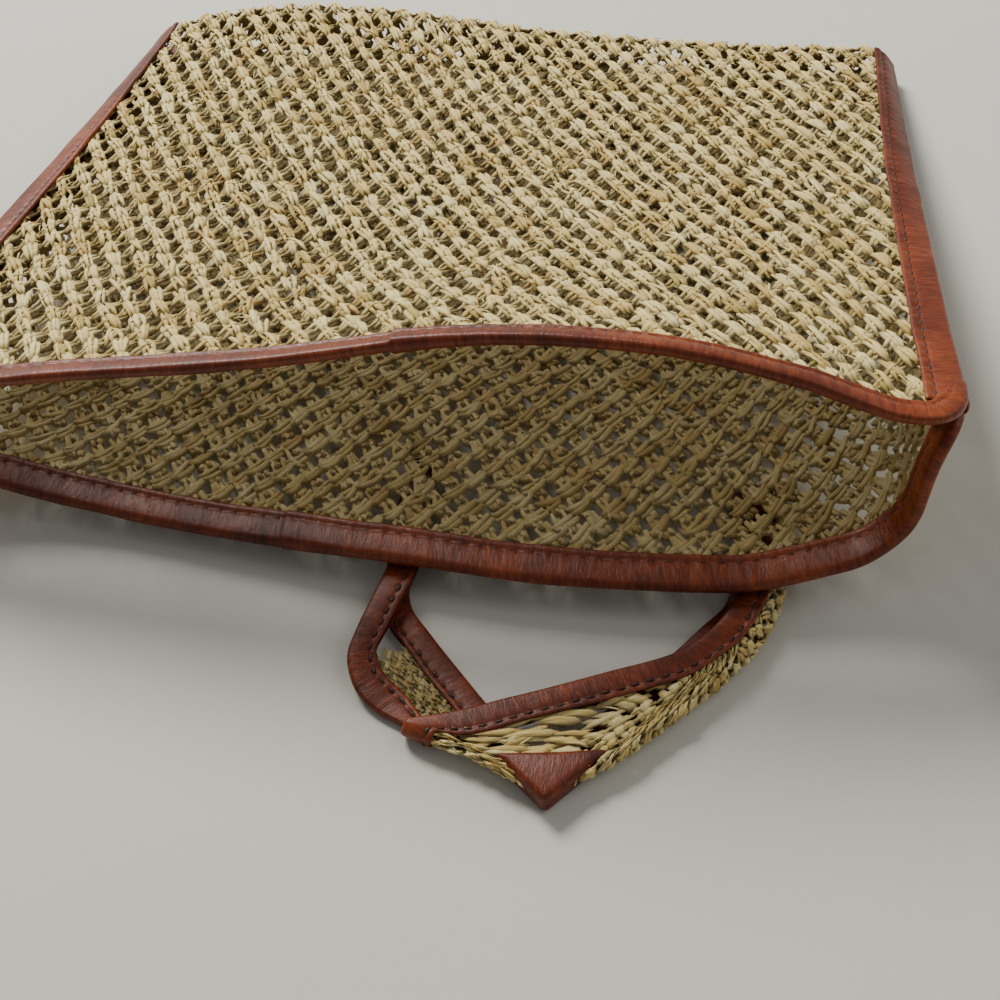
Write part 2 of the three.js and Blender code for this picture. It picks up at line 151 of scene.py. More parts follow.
@dataclass(frozen=True)
class PouchSizes:
    """Driving sizes of the pouch in metres, the same as those of its CAD solids."""

    fold_width: float = 0.325
    mouth_right: float = 0.166
    mouth_left: float = 0.187
    length: float = 0.275
    lip_bow: float = 0.020
    handle_from: float = 0.290
    wall: float = 0.0024
    corner_right: float = 0.070
    corner_left: float = 0.047
    crest: float = 0.029
    fold_puff: float = 0.020
    mouth_lift: float = 0.0113
    seam_clear: float = 0.0026
    fold_bulge: float = 0.45
    binding_width: float = 0.012
    leather: float = 0.0012
    gap: float = 0.0003
    seam_power: float = 1.12
    crest_power: float = 2.5
    puff_power: float = 1.6
    box_power: float = 0.8
    lift_start: float = 0.45
    lift_run: float = 0.35

    def half_width(self, side: Array, along: Array) -> Array:
        """Flat half width of the pouch on one side at a share of its length."""
        reach = np.where(side > 0, self.mouth_right, self.mouth_left)
        return self.fold_width / 2 * (1 - along) + reach * along

    def seam_rise(self, side: Array, along: Array) -> Array:
        """Height of a seam's edge above the table."""
        corner = np.where(side > 0, self.corner_right, self.corner_left)
        low = self.wall + self.seam_clear
        return low + (corner - low) * np.maximum(0, along) ** self.seam_power

    def section(self, panel: Panel, across: Array, along: Array) -> tuple:
        """Place across and height of the middle of a panel's wall.

        Args:
            panel: Which panel.
            across: Shares from the left seam, -1, to the right one, 1.
            along: Shares of the length from the fold.

        Returns:
            Arrays of x and z.
        """
        if panel is Panel.FRONT:
            left = self.seam_rise(np.array(-1.0), along)
            line = left + (self.seam_rise(np.array(1.0), along) - left) * (across + 1) / 2
            arch = self.crest * smooth_column(FRONT_PROFILE, "arch", across) * along**self.crest_power
            puff = self.fold_puff * smooth_column(FRONT_PROFILE, "puff", across)
            puff = puff * (1 - along) ** self.puff_power
            return across * self.half_width(across, along), line + self.wall / 2 + arch + puff
        box = along**self.box_power
        out = across + (smooth_column(BACK_PROFILE, "out", across) - across) * box
        turn = np.maximum(0, smooth_column(BACK_PROFILE, "turn", across))
        lift = self.mouth_lift * smooth_column(BACK_PROFILE, "lift", across)
        lift = lift * smooth_step(self.lift_start, self.lift_start + self.lift_run, along)
        rise = (self.seam_rise(across, along) - self.wall) * turn
        return out * self.half_width(across, along), self.wall / 2 + rise + lift


class Surface:
    """A curved sheet as a regular grid of points over flat measures u, across, and v, along."""

    def __init__(self, points: Array, u_range: tuple, v_range: tuple, outward: float):
        """Keeps the grid and works out its normals.

        Args:
            points: Grid of points, rows along v and columns along u.
            u_range: First and last u.
            v_range: First and last v.
            outward: 1 or -1, so that the normals point out of the bag.
        """
        self.points = points
        self.u_range, self.v_range = u_range, v_range
        across = np.gradient(points, axis=1)
        along = np.gradient(points, axis=0)
        normal = np.cross(across, along) * outward
        self.normals = normal / np.maximum(np.linalg.norm(normal, axis=2, keepdims=True), 1e-12)

    def place(self, u: Array, v: Array, height: Array) -> Array:
        """Points of the sheet at flat measures, lifted along its normal.

        Args:
            u: Flat places across.
            v: Flat places along.
            height: Heights above the middle of the sheet.

        Returns:
            One point per place.
        """
        rows, columns = self.points.shape[:2]
        i = (np.asarray(v) - self.v_range[0]) / (self.v_range[1] - self.v_range[0]) * (rows - 1)
        j = (np.asarray(u) - self.u_range[0]) / (self.u_range[1] - self.u_range[0]) * (columns - 1)
        row = np.clip(np.floor(i).astype(int), 0, rows - 2)
        column = np.clip(np.floor(j).astype(int), 0, columns - 2)
        down, right = (i - row)[..., None], (j - column)[..., None]

        def blend(grid: Array) -> Array:
            """Bilinear value of a grid."""
            top = grid[row, column] * (1 - right) + grid[row, column + 1] * right
            low = grid[row + 1, column] * (1 - right) + grid[row + 1, column + 1] * right
            return top * (1 - down) + low * down

        normal = blend(self.normals)
        normal = normal / np.maximum(np.linalg.norm(normal, axis=-1, keepdims=True), 1e-12)
        return blend(self.points) + normal * np.asarray(height)[..., None]


@dataclass
class PouchForm:
    """The bag's two panels as surfaces, in the frame's own place."""

    sizes: PouchSizes = field(default_factory=PouchSizes)
    columns: int = 241
    rows: int = 161
    fold_rows: int = 10
    fold_arc: float = 0.013
    flat_reach: float = 0.205
    corner_radius: float = 0.0128
    corner_tail: float = 0.006

    def middle(self, panel: Panel) -> Array:
        """Grid of the middle of a panel's wall over shares across and along."""
        across = np.linspace(-1, 1, self.columns)
        along = np.linspace(0, 1, self.rows)
        s, t = np.meshgrid(across, along)
        x, z = self.sizes.section(panel, s, t)
        bow = np.zeros(self.columns)
        if panel is Panel.BACK:
            bow = self.sizes.lip_bow * smooth_column(BACK_PROFILE, "bow", across)
        travel = (self.sizes.length + bow) / (self.rows - 1)
        drop = np.hypot(np.diff(x, axis=0), np.diff(z, axis=0))
        depth = np.sqrt(np.maximum(0.04 * travel**2, travel**2 - drop**2))
        y = np.vstack([np.zeros(self.columns), -np.cumsum(depth, axis=0)])
        return np.stack([x, y, z], axis=2)

    def with_fold(self, panel: Panel) -> tuple:
        """Grid of a panel with its half of the rounded fold before it, and its flat v values."""
        front, back = self.middle(Panel.FRONT), self.middle(Panel.BACK)
        half = (front[0, :, 2] - back[0, :, 2]) / 2
        centre = (front[0, :, 2] + back[0, :, 2]) / 2
        own = front if panel is Panel.FRONT else back
        sign = 1 if panel is Panel.FRONT else -1
        rows = []
        for turn in np.linspace(math.pi / 2, 0, self.fold_rows, endpoint=False):
            depth = half * self.sizes.fold_bulge * math.sin(turn)
            rows.append(np.stack([own[0, :, 0], depth, centre + sign * half * math.cos(turn)], axis=1))
        v = np.concatenate([
            np.linspace(-self.fold_arc, 0, self.fold_rows, endpoint=False),
            np.linspace(0, self.sizes.length, self.rows),
        ])
        return np.concatenate([np.array(rows), own]), v

    def surface(self, panel: Panel, shift: Array) -> Surface:
        """A panel as a surface whose u is the straw's own flat width.

        Args:
            panel: Which panel.
            shift: Move from the form's own place to the frame's.

        Returns:
            The surface, reaching a little past the rim and the seams.
        """
        grid, v_rows = self.with_fold(panel)
        u_flat = np.linspace(-self.flat_reach, self.flat_reach, self.columns)
        rows = []
        for points, v in zip(grid, v_rows):
            along = np.clip(v / self.sizes.length, 0, 1)
            arc = travelled(points)
            arc = arc - arc[len(arc) // 2]
            flat = np.where(
                arc < 0,
                arc / -arc[0] * self.sizes.half_width(np.array(-1), along),
                arc / arc[-1] * self.sizes.half_width(np.array(1), along),
            )
            line = resampled(points, flat, u_flat)
            for beyond, edge, inner in ((u_flat < flat[0], 0, 1), (u_flat > flat[-1], -1, -2)):
                step = (points[edge] - points[inner]) / (flat[edge] - flat[inner])
                line[beyond] = points[edge] + step * (u_flat[beyond] - flat[edge])[:, None]
            rows.append(line)
        rows = np.array(rows)
        v_even = np.linspace(-self.fold_arc, self.sizes.length, self.rows + self.fold_rows)
        even = np.empty((len(v_even), self.columns, 3))
        for column in range(self.columns):
            even[:, column] = resampled(rows[:, column], v_rows, v_even)
        last = even[-1] + (even[-1] - even[-3]) * 0.5
        even = np.concatenate([even, last[None]]) + shift
        v_step = v_even[1] - v_even[0]
        outward = 1.0 if panel is Panel.BACK else -1.0
        u_range = (-self.flat_reach, self.flat_reach)
        return Surface(even, u_range, (-self.fold_arc, v_even[-1] + v_step), outward)

    def shift_to_frame(self) -> Array:
        """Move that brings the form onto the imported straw_body node."""
        low, high = (np.array(corner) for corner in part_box("straw_body"))
        front, back = self.middle(Panel.FRONT), self.middle(Panel.BACK)
        both = np.concatenate([front.reshape(-1, 3), back.reshape(-1, 3)])
        half = (front[0, :, 2] - back[0, :, 2]) / 2 + self.sizes.wall / 2
        nose = half.max() * self.sizes.fold_bulge
        x = (low[0] + high[0]) / 2 - (both[:, 0].min() + both[:, 0].max()) / 2
        return np.array([x, high[1] - nose, low[2]])


# Meshes


def new_mesh_object(name: str, points: Array, faces: list) -> Piece:
    """Makes a smooth mesh object at the origin.

    Args:
        name: Name of the object and its mesh.
        points: Its points in metres.
        faces: Groups of faces, each an array with one row of point numbers per face.

    Returns:
        The linked object.
    """
    mesh = bpy.data.meshes.new(name)
    sizes = np.concatenate([np.full(len(group), group.shape[1]) for group in faces])
    corners = np.concatenate([group.ravel() for group in faces]).astype(np.int32)
    mesh.vertices.add(len(points))
    mesh.vertices.foreach_set("co", np.asarray(points, dtype=np.float32).ravel())
    mesh.loops.add(len(corners))
    mesh.loops.foreach_set("vertex_index", corners)
    mesh.polygons.add(len(sizes))
    starts = np.concatenate([[0], np.cumsum(sizes)[:-1]]).astype(np.int32)
    mesh.polygons.foreach_set("loop_start", starts)
    mesh.polygons.foreach_set("loop_total", sizes.astype(np.int32))
    mesh.polygons.foreach_set("use_smooth", np.full(len(sizes), True))
    mesh.update(calc_edges=True)
    mesh.validate()
    piece = bpy.data.objects.new(name, mesh)
    bpy.context.scene.collection.objects.link(piece)
    return piece


def set_attribute(piece: Piece, name: str, values: Array) -> None:
    """Stores one number, or one vector, per point of a piece."""
    kind = "FLOAT_VECTOR" if values.ndim == 2 else "FLOAT"
    layer = piece.data.attributes.new(name, kind, "POINT")
    layer.data.foreach_set("vector" if values.ndim == 2 else "value", values.astype(np.float32).ravel())


def ring_faces(stations: int, count: int) -> Array:
    """Quads between neighbouring rings of equal size."""
    ring = np.arange(stations - 1)[:, None] * count
    spot = np.arange(count)[None, :]
    after = (spot + 1) % count
    quads = np.stack([ring + spot, ring + after, ring + count + after, ring + count + spot], axis=2)
    return quads.reshape(-1, 4)


def fix_normals(piece: Piece) -> None:
    """Turns the faces of a closed piece outward."""
    shell = bmesh.new()
    shell.from_mesh(piece.data)
    bmesh.ops.recalc_face_normals(shell, faces=shell.faces)
    shell.to_mesh(piece.data)
    shell.free()


def select_only(piece: Piece) -> None:
    """Makes one object the only selected one, and the active one."""
    bpy.ops.object.select_all(action="DESELECT")
    piece.select_set(True)
    bpy.context.view_layer.objects.active = piece


@dataclass(frozen=True)
class StrandShape:
    """One short length of twisted straw: a tube along X, plump in the middle."""

    sides: int
    rings: tuple
    width: tuple
    lift: tuple
    twist: float
    flatness: float

    def model(self) -> tuple:
        """Models the strand with a cylinder that is cut, swollen and twisted ring by ring.

        Returns:
            Its points, as lengths along, beside and above, and its faces by size.
        """
        bpy.ops.object.select_all(action="DESELECT")
        bpy.ops.mesh.primitive_cylinder_add(
            vertices=self.sides, radius=1, depth=1, end_fill_type="NGON", rotation=(0, math.pi / 2, 0)
        )
        strand = bpy.context.object
        bpy.ops.object.transform_apply(location=False, rotation=True, scale=False)
        bpy.ops.object.mode_set(mode="EDIT")
        for place in self.rings[1:-1]:
            bpy.ops.mesh.select_all(action="SELECT")
            bpy.ops.mesh.bisect(plane_co=(place, 0, 0), plane_no=(1, 0, 0))
        shell = bmesh.from_edit_mesh(strand.data)
        for place, width, lift in zip(self.rings, self.width, self.lift):
            bpy.ops.mesh.select_all(action="DESELECT")
            for corner in shell.verts:
                corner.select = abs(corner.co.x - place) < 1e-4
            shell.select_flush(True)
            bmesh.update_edit_mesh(strand.data)
            centre = (place, 0, 0)
            bpy.ops.transform.rotate(value=self.twist * place, orient_axis="X", center_override=centre)
            bpy.ops.transform.resize(value=(1, width, width * self.flatness), center_override=centre)
            bpy.ops.transform.translate(value=(0, 0, lift))
        bpy.ops.object.mode_set(mode="OBJECT")
        points = np.array([corner.co[:] for corner in strand.data.vertices])
        quads = np.array([face.vertices[:] for face in strand.data.polygons if len(face.vertices) == 4])
        ends = np.array([face.vertices[:] for face in strand.data.polygons if len(face.vertices) != 4])
        bpy.data.objects.remove(strand, do_unlink=True)
        return points, [quads, ends]


@dataclass
class StrandSet:
    """Many copies of one strand, laid on a surface as one mesh."""

    shape: StrandShape
    surface: Surface
    centres: Array
    angles: Array
    lengths: Array
    widths: Array
    heights: Array
    shades: Array
    bows: Array = None
    rough: float = 0.0
    side: int = 1
    press: object = None

    def build(self, name: str) -> Piece:
        """Lays the copies and joins them.

        Args:
            name: Name of the piece.

        Returns:
            The piece, with the attributes "strand" and "shade" for its finish.
        """
        points, groups = self.shape.model()
        copies, corners = len(self.centres), len(points)
        along = points[None, :, 0] * self.lengths[:, None]
        beside = points[None, :, 1] * self.widths[:, None]
        if self.bows is not None:
            beside = beside + self.bows[:, None] * (1 - (2 * points[None, :, 0]) ** 2)
        above = (points[None, :, 2] * self.widths[:, None] + self.heights[:, None]) * self.side
        cos, sin = np.cos(self.angles)[:, None], np.sin(self.angles)[:, None]
        u = self.centres[:, 0, None] + along * cos - beside * sin
        v = self.centres[:, 1, None] + along * sin + beside * cos
        if self.press is not None:
            above = above * self.press(u, v)
        laid = self.surface.place(u, v, above).reshape(-1, 3)
        laid = laid + np.random.default_rng(copies).normal(0, self.rough, laid.shape)
        laid[:, 2] = np.maximum(laid[:, 2], TABLE_CLEAR)
        start = (np.arange(copies) * corners)[:, None, None]
        faces = [(group[None] + start).reshape(-1, group.shape[1]) for group in groups]
        piece = new_mesh_object(name, laid, faces)
        fix_normals(piece)
        grain = np.stack([along / MM, beside / MM, points[None, :, 2] * self.widths[:, None] / MM], axis=2)
        grain = grain + self.shades[:, None, None] * 40
        set_attribute(piece, "strand", grain.reshape(-1, 3))
        set_attribute(piece, "shade", np.repeat(self.shades, corners))
        # Signed height above the sheet; the straw finish turns low and negative values into painted shade.
        set_attribute(piece, "proud", (above * self.side / MM).ravel())
        return piece


@dataclass(frozen=True)
class Ply:
    """One kind of strand in every knot of a net: where it lies in its bundle and how thick it is."""

    lean: int
    offset: float
    height: float
    width: float
    length: float
    share: float = 1.0


@dataclass(frozen=True)
class Unevenness:
    """How much handmade straw differs from strand to strand, as standard deviations."""

    aside: float = 0.00022
    turn: float = 0.11
    length: float = 0.06
    width: float = 0.14
    height: float = 0.0002
    shade: float = 0.16
    surface: float = 0.00009
    fibre_turn: float = 0.45
    fibre_place: float = 0.0019


FIBRE = StrandShape(
    sides=3, rings=(-0.5, -0.2, 0.2, 0.5), width=(0.5, 1, 1, 0.5), lift=(-1.6, 0.3, 0.3, -1.6),
    twist=0.4, flatness=0.6,
)


@dataclass
class StrawNet:
    """The straw of one panel: leaning bundles in staggered rows, with holes between them."""

    name: str
    surface: Surface
    inside: object
    pitch: float
    row: float
    seed: int
    plies: tuple = (
        Ply(1, -0.00125, 0.0001, 0.00092, 1.2),
        Ply(1, 0.0, 0.0006, 0.00104, 1.16),
        Ply(1, 0.0013, 0.0001, 0.00092, 1.2),
        Ply(-1, -0.0007, -0.0006, 0.0009, 1.16),
        Ply(-1, 0.0008, -0.0004, 0.0009, 1.12),
        Ply(-1, 0.0002, 0.0009, 0.00052, 0.5, 0.7),
    )
    wobble: float = 0.0005
    fibres: float = 1.6
    flat: float = 0.8
    thick: float = 1.0
    press: object = None
    spread: Unevenness = Unevenness()

    @property
    def steep(self) -> float:
        """Angle of the bundles that lean to the right, from the row's own line."""
        return math.atan2(self.row, self.pitch / 2)

    def knots(self) -> Array:
        """Flat places of the knots that lie inside the panel's edge."""
        (u0, u1), (v0, v1) = self.surface.u_range, self.surface.v_range
        rows = np.arange(math.floor(v0 / self.row), math.ceil(v1 / self.row) + 1)
        columns = np.arange(math.floor(u0 / self.pitch), math.ceil(u1 / self.pitch) + 1)
        row, column = np.meshgrid(rows, columns, indexing="ij")
        u = (column + 0.5 * (row % 2)) * self.pitch
        v = row * self.row
        places = np.stack([u.ravel(), v.ravel()], axis=1)
        return places[self.inside(places[:, 0], places[:, 1])]

    def ply(self, ply: Ply, places: Array, shades: Array, rng: np.random.Generator) -> StrandSet:
        """Strands of one kind for all knots."""
        kept = rng.random(len(places)) < ply.share
        places, shades = places[kept], shades[kept]
        count, spread = len(places), self.spread
        reach = math.hypot(self.row, self.pitch / 2)
        angle = self.steep if ply.lean > 0 else math.pi - self.steep
        aside = ply.offset + rng.normal(0, spread.aside, count)
        centres = places + np.stack([-math.sin(angle) * aside, math.cos(angle) * aside], axis=1)
        shape = StrandShape(
            sides=5, rings=(-0.5, -0.19, 0.19, 0.5), width=(0.7, 1.0, 1.0, 0.7),
            lift=(-0.55, 0.25, 0.25, -0.55), twist=1.4 * ply.lean, flatness=self.flat,
        )
        return StrandSet(
            shape, self.surface, centres, np.full(count, angle) + rng.normal(0, spread.turn, count),
            reach * ply.length * rng.normal(1, spread.length, count),
            ply.width * self.thick * rng.normal(1, spread.width, count),
            ply.height * self.flat + rng.normal(0, spread.height, count),
            np.clip(shades + rng.normal(0, spread.shade, count), 0, 1),
            bows=aside * rng.uniform(-0.1, 0.5, count), rough=spread.surface, press=self.press,
        )

    def build(self) -> list:
        """Builds the net's bundles both ways and the loose fibres."""
        rng = np.random.default_rng(self.seed)
        places = self.knots()
        count = len(places)
        places = places + rng.normal(0, self.wobble, (count, 2))
        shades = np.clip(rng.normal(0.6, 0.2, count), 0, 1)
        pieces = []
        for lean, label in ((1, "_bundles"), (-1, "_links")):
            layers = [
                self.ply(ply, places, shades, rng).build(f"{self.name}{label}_{spot}")
                for spot, ply in enumerate(self.plies) if ply.lean == lean
            ]
            pieces.append(join(layers, self.name + label))
        loose = int(count * self.fibres)
        picks = rng.integers(0, count, loose)
        turn = np.where(rng.random(loose) < 0.6, self.steep, math.pi - self.steep)
        turn = turn + rng.normal(0, self.spread.fibre_turn, loose)
        stray = StrandSet(
            FIBRE, self.surface, places[picks] + rng.normal(0, self.spread.fibre_place, (loose, 2)), turn,
            rng.uniform(0.003, 0.0075, loose), rng.uniform(0.0002, 0.00042, loose),
            rng.uniform(0.0002, 0.0018, loose) * self.flat, rng.uniform(0.4, 1, loose), press=self.press,
        ).build(self.name + "_fibres")
        return [*pieces, stray]


def join(pieces: list, name: str) -> Piece:
    """Joins pieces into one."""
    select_only(pieces[0])
    for piece in pieces[1:]:
        piece.select_set(True)
    bpy.ops.object.join()
    pieces[0].name = name
    pieces[0].data.name = name
    return pieces[0]


# Leather


def wandering(count: int, step: float, length: float, rng: np.random.Generator) -> Array:
    """Smooth random wandering between about -1 and 1.

    Args:
        count: How many values.
        step: Distance between them.
        length: Distance over which the wandering turns.
        rng: Seeded source of chance.

    Returns:
        The values.
    """
    knots = rng.uniform(-1, 1, max(4, int(count * step / length) + 4))
    place = np.linspace(1, len(knots) - 2.001, count)
    low = np.floor(place).astype(int)
    share = place - low
    share = share * share * (3 - 2 * share)
    return knots[low] * (1 - share) + knots[low + 1] * share


@dataclass(frozen=True)
class BandProfile:
    """Half of a folded leather band in section, from its cut edge to its nose."""

    depth: tuple = (0.99, 1.0, 0.975, 0.92, 0.85, 0.79, 0.745, 0.7, 0.62, 0.47, 0.3, 0.13)
    skin: tuple = (
        0.0012, 0.0017, 0.0021, 0.0023, 0.00225, 0.002, 0.00175, 0.00195, 0.00215, 0.0022, 0.00215, 0.002,
    )
    lining: float = 0.001
    nose: float = 0.0018
    nose_turns: int = 7
    seam_share: float = 0.745


@dataclass
class LeatherBand:
    """A strip of leather folded over an edge, in one piece with a wall of its own thickness."""

    name: str
    upper: object
    lower: object
    run: Array
    width: object
    profile: BandProfile = field(default_factory=BandProfile)
    seed: int = 1
    lap: float = -1.0
    thin: float = 1.0
    upper_share: float = 1.0

    def skins(self) -> tuple:
        """Outer and inner skin of the band at every station along it."""
        profile, rng = self.profile, np.random.default_rng(self.seed)
        count, step = len(self.run), self.run[1] - self.run[0]
        width = np.broadcast_to(np.asarray(self.width, dtype=float), (count,))
        depth = np.array(profile.depth)[None, :] * width[:, None]
        skin = np.array(profile.skin)[None, :] * self.thin
        body = np.clip((np.array(profile.skin) - 0.0014) / 0.0012, 0, 1)[None, :]

        def side(place: object, share: float) -> tuple:
            """Both skins on one side of the fold."""
            waver = wandering(count, step, 0.014, rng)[:, None] * 0.00028
            ripple = wandering(count, step, 0.006, rng)[:, None] * 0.00016
            ripple = ripple + wandering(count, step, 0.025, rng)[:, None] * 0.00014
            pinch = 0.00016 * np.cos(2 * math.pi * self.run / STITCH_PITCH)[:, None]
            near = np.exp(-((np.array(profile.depth) - profile.seam_share) / 0.12) ** 2)[None, :]
            raised = skin + body * ripple + near * pinch
            if self.lap > 0:
                beyond = self.run - self.lap
                step_up = np.where(beyond < 0, 0, np.exp(-np.maximum(beyond, 0) / 0.016))
                raised = raised + 0.0008 * step_up[:, None]
            lining = np.full_like(raised, profile.lining * self.thin)
            return place(depth * share + waver, raised), place(depth * share * 0.985 + waver, lining)

        upper_out, upper_in = side(self.upper, self.upper_share)
        lower_out, lower_in = side(self.lower, 1.0)

        def nose(high: Array, low: Array, reach: float) -> Array:
            """The half turn between the two sides."""
            middle, half = (high[:, -1] + low[:, -1]) / 2, (high[:, -1] - low[:, -1]) / 2
            out = middle - (high[:, -3] + low[:, -3]) / 2
            out = out / np.maximum(np.linalg.norm(out, axis=1, keepdims=True), 1e-9)
            turns = np.linspace(0, math.pi, profile.nose_turns + 2)[1:-1]
            return np.stack([middle + half * math.cos(t) + out * reach * math.sin(t) for t in turns], axis=1)

        reach = profile.nose * self.thin
        outer = np.concatenate([upper_out, nose(upper_out, lower_out, reach), lower_out[:, ::-1]], axis=1)
        inner = np.concatenate([upper_in, nose(upper_in, lower_in, reach * 0.5), lower_in[:, ::-1]], axis=1)
        return outer, inner

    def build(self) -> Piece:
        """Builds the band with rounded ends.

        Returns:
            The piece, with the attribute "run": millimetres along it and across it.
        """
        outer, inner = self.skins()

        def ends(first: int, second: int) -> list:
            """Extra rings that close one end."""
            step = outer[first] - outer[second]
            step = step / np.maximum(np.linalg.norm(step, axis=1, keepdims=True), 1e-9)
            extra = []
            for move, close in ((0.00035, 0.25), (0.0006, 0.65), (0.0007, 0.95)):
                middle = (outer[first] + inner[first]) / 2 + step * move
                thick = (outer[first] - inner[first]) / 2 * (1 - close)
                extra.append((middle + thick, middle - thick))
            return extra

        start, finish = ends(0, 1), ends(-1, -2)
        outer = np.concatenate([[o for o, _ in reversed(start)], outer, [o for o, _ in finish]])
        inner = np.concatenate([[i for _, i in reversed(start)], inner, [i for _, i in finish]])
        rings = np.concatenate([outer, inner[:, ::-1]], axis=1)
        stations, count = rings.shape[:2]
        half = count // 2
        spot = np.arange(half - 1)
        last = (stations - 1) * count
        caps = np.concatenate([
            np.stack([spot, spot + 1, count - 2 - spot, count - 1 - spot], axis=1),
            np.stack([spot, spot + 1, count - 2 - spot, count - 1 - spot], axis=1)[:, ::-1] + last,
        ])
        piece = new_mesh_object(self.name, rings.reshape(-1, 3), [ring_faces(stations, count), caps])
        fix_normals(piece)
        run = np.concatenate([np.full(3, self.run[0]), self.run, np.full(3, self.run[-1])]) / MM
        across = travelled(outer[stations // 2]) / MM
        across = np.concatenate([across, across[::-1]])
        grid = np.stack(np.broadcast_arrays(run[:, None], across[None, :], np.float64(self.seed)), axis=2)
        set_attribute(piece, "run", grid.reshape(-1, 3))
        return piece


STITCH_PITCH = 0.0047
STITCH = StrandShape(
    sides=6, rings=(-0.5, -0.34, 0.0, 0.34, 0.5), width=(0.6, 0.95, 1.0, 0.95, 0.6),
    lift=(-2.0, -0.2, 0.25, -0.2, -2.0), twist=2.4, flatness=0.8,
)


def stitch_row(
    name: str, surface: Surface, centres: Array, angles: Array, height: float, seed: int
) -> Piece:
    """One row of thread stitches.

    Args:
        name: Name of the row.
        surface: The sheet that the row follows.
        centres: Flat places of the stitches.
        angles: Direction of each stitch over the sheet.
        height: Height of the leather's groove; below zero on the sheet's inner side.
        seed: Seed of the small differences between them.

    Returns:
        The row as one piece.
    """
    rng = np.random.default_rng(seed)
    count = len(centres)
    row = StrandSet(
        STITCH, surface, centres + rng.normal(0, 0.00012, (count, 2)), angles + rng.normal(0.06, 0.05, count),
        np.full(count, STITCH_PITCH * 0.74) * rng.normal(1, 0.05, count), np.full(count, 0.00052),
        np.full(count, abs(height)), rng.random(count), side=1 if height > 0 else -1,
    )
    return row.build(name)


@dataclass
class SeamBinding:
    """The leather band over one seam, with a row of stitches on each side of it."""

    side: Side
    form: PouchForm
    front: Surface
    back: Surface
    step: float = 0.0012
    groove: float = 0.0017

    def build(self) -> tuple:
        """Builds the band and its stitches."""
        sizes, sign = self.form.sizes, self.side.value
        end = sizes.length - self.form.corner_radius + 0.002
        run = np.linspace(0, end, int(end / self.step) + 1)
        edge = sign * sizes.half_width(np.array(sign), np.clip(run / sizes.length, 0, 1))

        def over(surface: Surface) -> object:
            """Places points of the band on one sheet."""
            return lambda depth, height: surface.place(
                edge[:, None] - sign * depth, np.broadcast_to(run[:, None], depth.shape), height)

        name = "side_binding_left" if self.side is Side.LEFT else "side_binding_right"
        faces = over(self.front), over(self.back)
        band = LeatherBand(name + "_leather", *faces, run, sizes.binding_width, seed=11 + sign)
        places = np.arange(0.003, end - 0.002, STITCH_PITCH)
        reach = sizes.half_width(np.array(sign), places / sizes.length)
        depth = band.profile.seam_share * sizes.binding_width
        centres = np.stack([sign * (reach - depth), places], axis=1)
        slope = np.gradient(centres[:, 0], places)
        angles = np.arctan2(1, slope)
        rows = [
            stitch_row(name + "_front_row", self.front, centres, angles, self.groove, 21),
            stitch_row(name + "_back_row", self.back, centres, angles, self.groove, 22),
        ]
        return band.build(), join(rows, name + "_stitches"), name


@dataclass
class RimBinding:
    """The leather band over the free edge of one panel, turned round its corners, with its inner stitches."""

    panel: Panel
    form: PouchForm
    surface: Surface
    lap: float
    step: float = 0.0011
    groove: float = 0.0017
    upper_share: float = 0.72
    tuck: float = 0.0012

    def path(self) -> tuple:
        """Edge of the panel from one seam to the other, and the way into the panel at every station."""
        sizes, radius = self.form.sizes, self.form.corner_radius
        left, right = -sizes.mouth_left, sizes.mouth_right
        top = sizes.length
        if self.panel is Panel.BACK:
            left, right = left + self.tuck, right - self.tuck
        turn = np.radians(np.arange(0, 91, 7.5))
        ahead = np.stack([np.cos(turn), np.sin(turn)], axis=1)
        corner = np.array([right - radius, top - radius]) + radius * ahead
        other = np.array([left + radius, top - radius]) + radius * ahead * (-1, 1)
        tail = np.array([[0.0, -self.form.corner_tail]])
        edge = np.concatenate([other[:1] + tail, other, corner[::-1], corner[:1] + tail])
        travel = travelled(edge)
        run = np.linspace(0, travel[-1], int(travel[-1] / self.step) + 1)
        edge = resampled(edge, travel, run)
        ahead = np.gradient(edge, axis=0)
        inward = np.stack([ahead[:, 1], -ahead[:, 0]], axis=1)
        return edge, inward / np.linalg.norm(inward, axis=1, keepdims=True), run

    def build(self) -> tuple:
        """Builds the band and its stitches."""
        sizes = self.form.sizes
        edge, inward, run = self.path()

        def over(sign: int) -> object:
            """Places points of the band on one face of the panel."""
            return lambda depth, height: self.surface.place(
                edge[:, :1] + inward[:, :1] * depth, edge[:, 1:] + inward[:, 1:] * depth, sign * height)

        name = "rim_binding_" + self.panel.value
        start = self.lap + sizes.mouth_left
        ends = np.minimum(run, run[-1] - run)
        width = sizes.binding_width * (0.55 + 0.45 * smooth_step(0, 0.012, ends))
        band = LeatherBand(
            name + "_leather", over(1), over(-1), run, width, seed=31, lap=start,
            upper_share=self.upper_share,
        )
        places = np.arange(0.024, run[-1] - 0.022, STITCH_PITCH)
        depth = band.profile.seam_share * sizes.binding_width
        centres = resampled(edge + inward * depth, run, places)
        angles = np.arctan2(np.gradient(centres[:, 1]), np.gradient(centres[:, 0]))
        row = stitch_row(name + "_stitches", self.surface, centres, angles, -self.groove, 42)
        return band.build(), row, name


# Handle

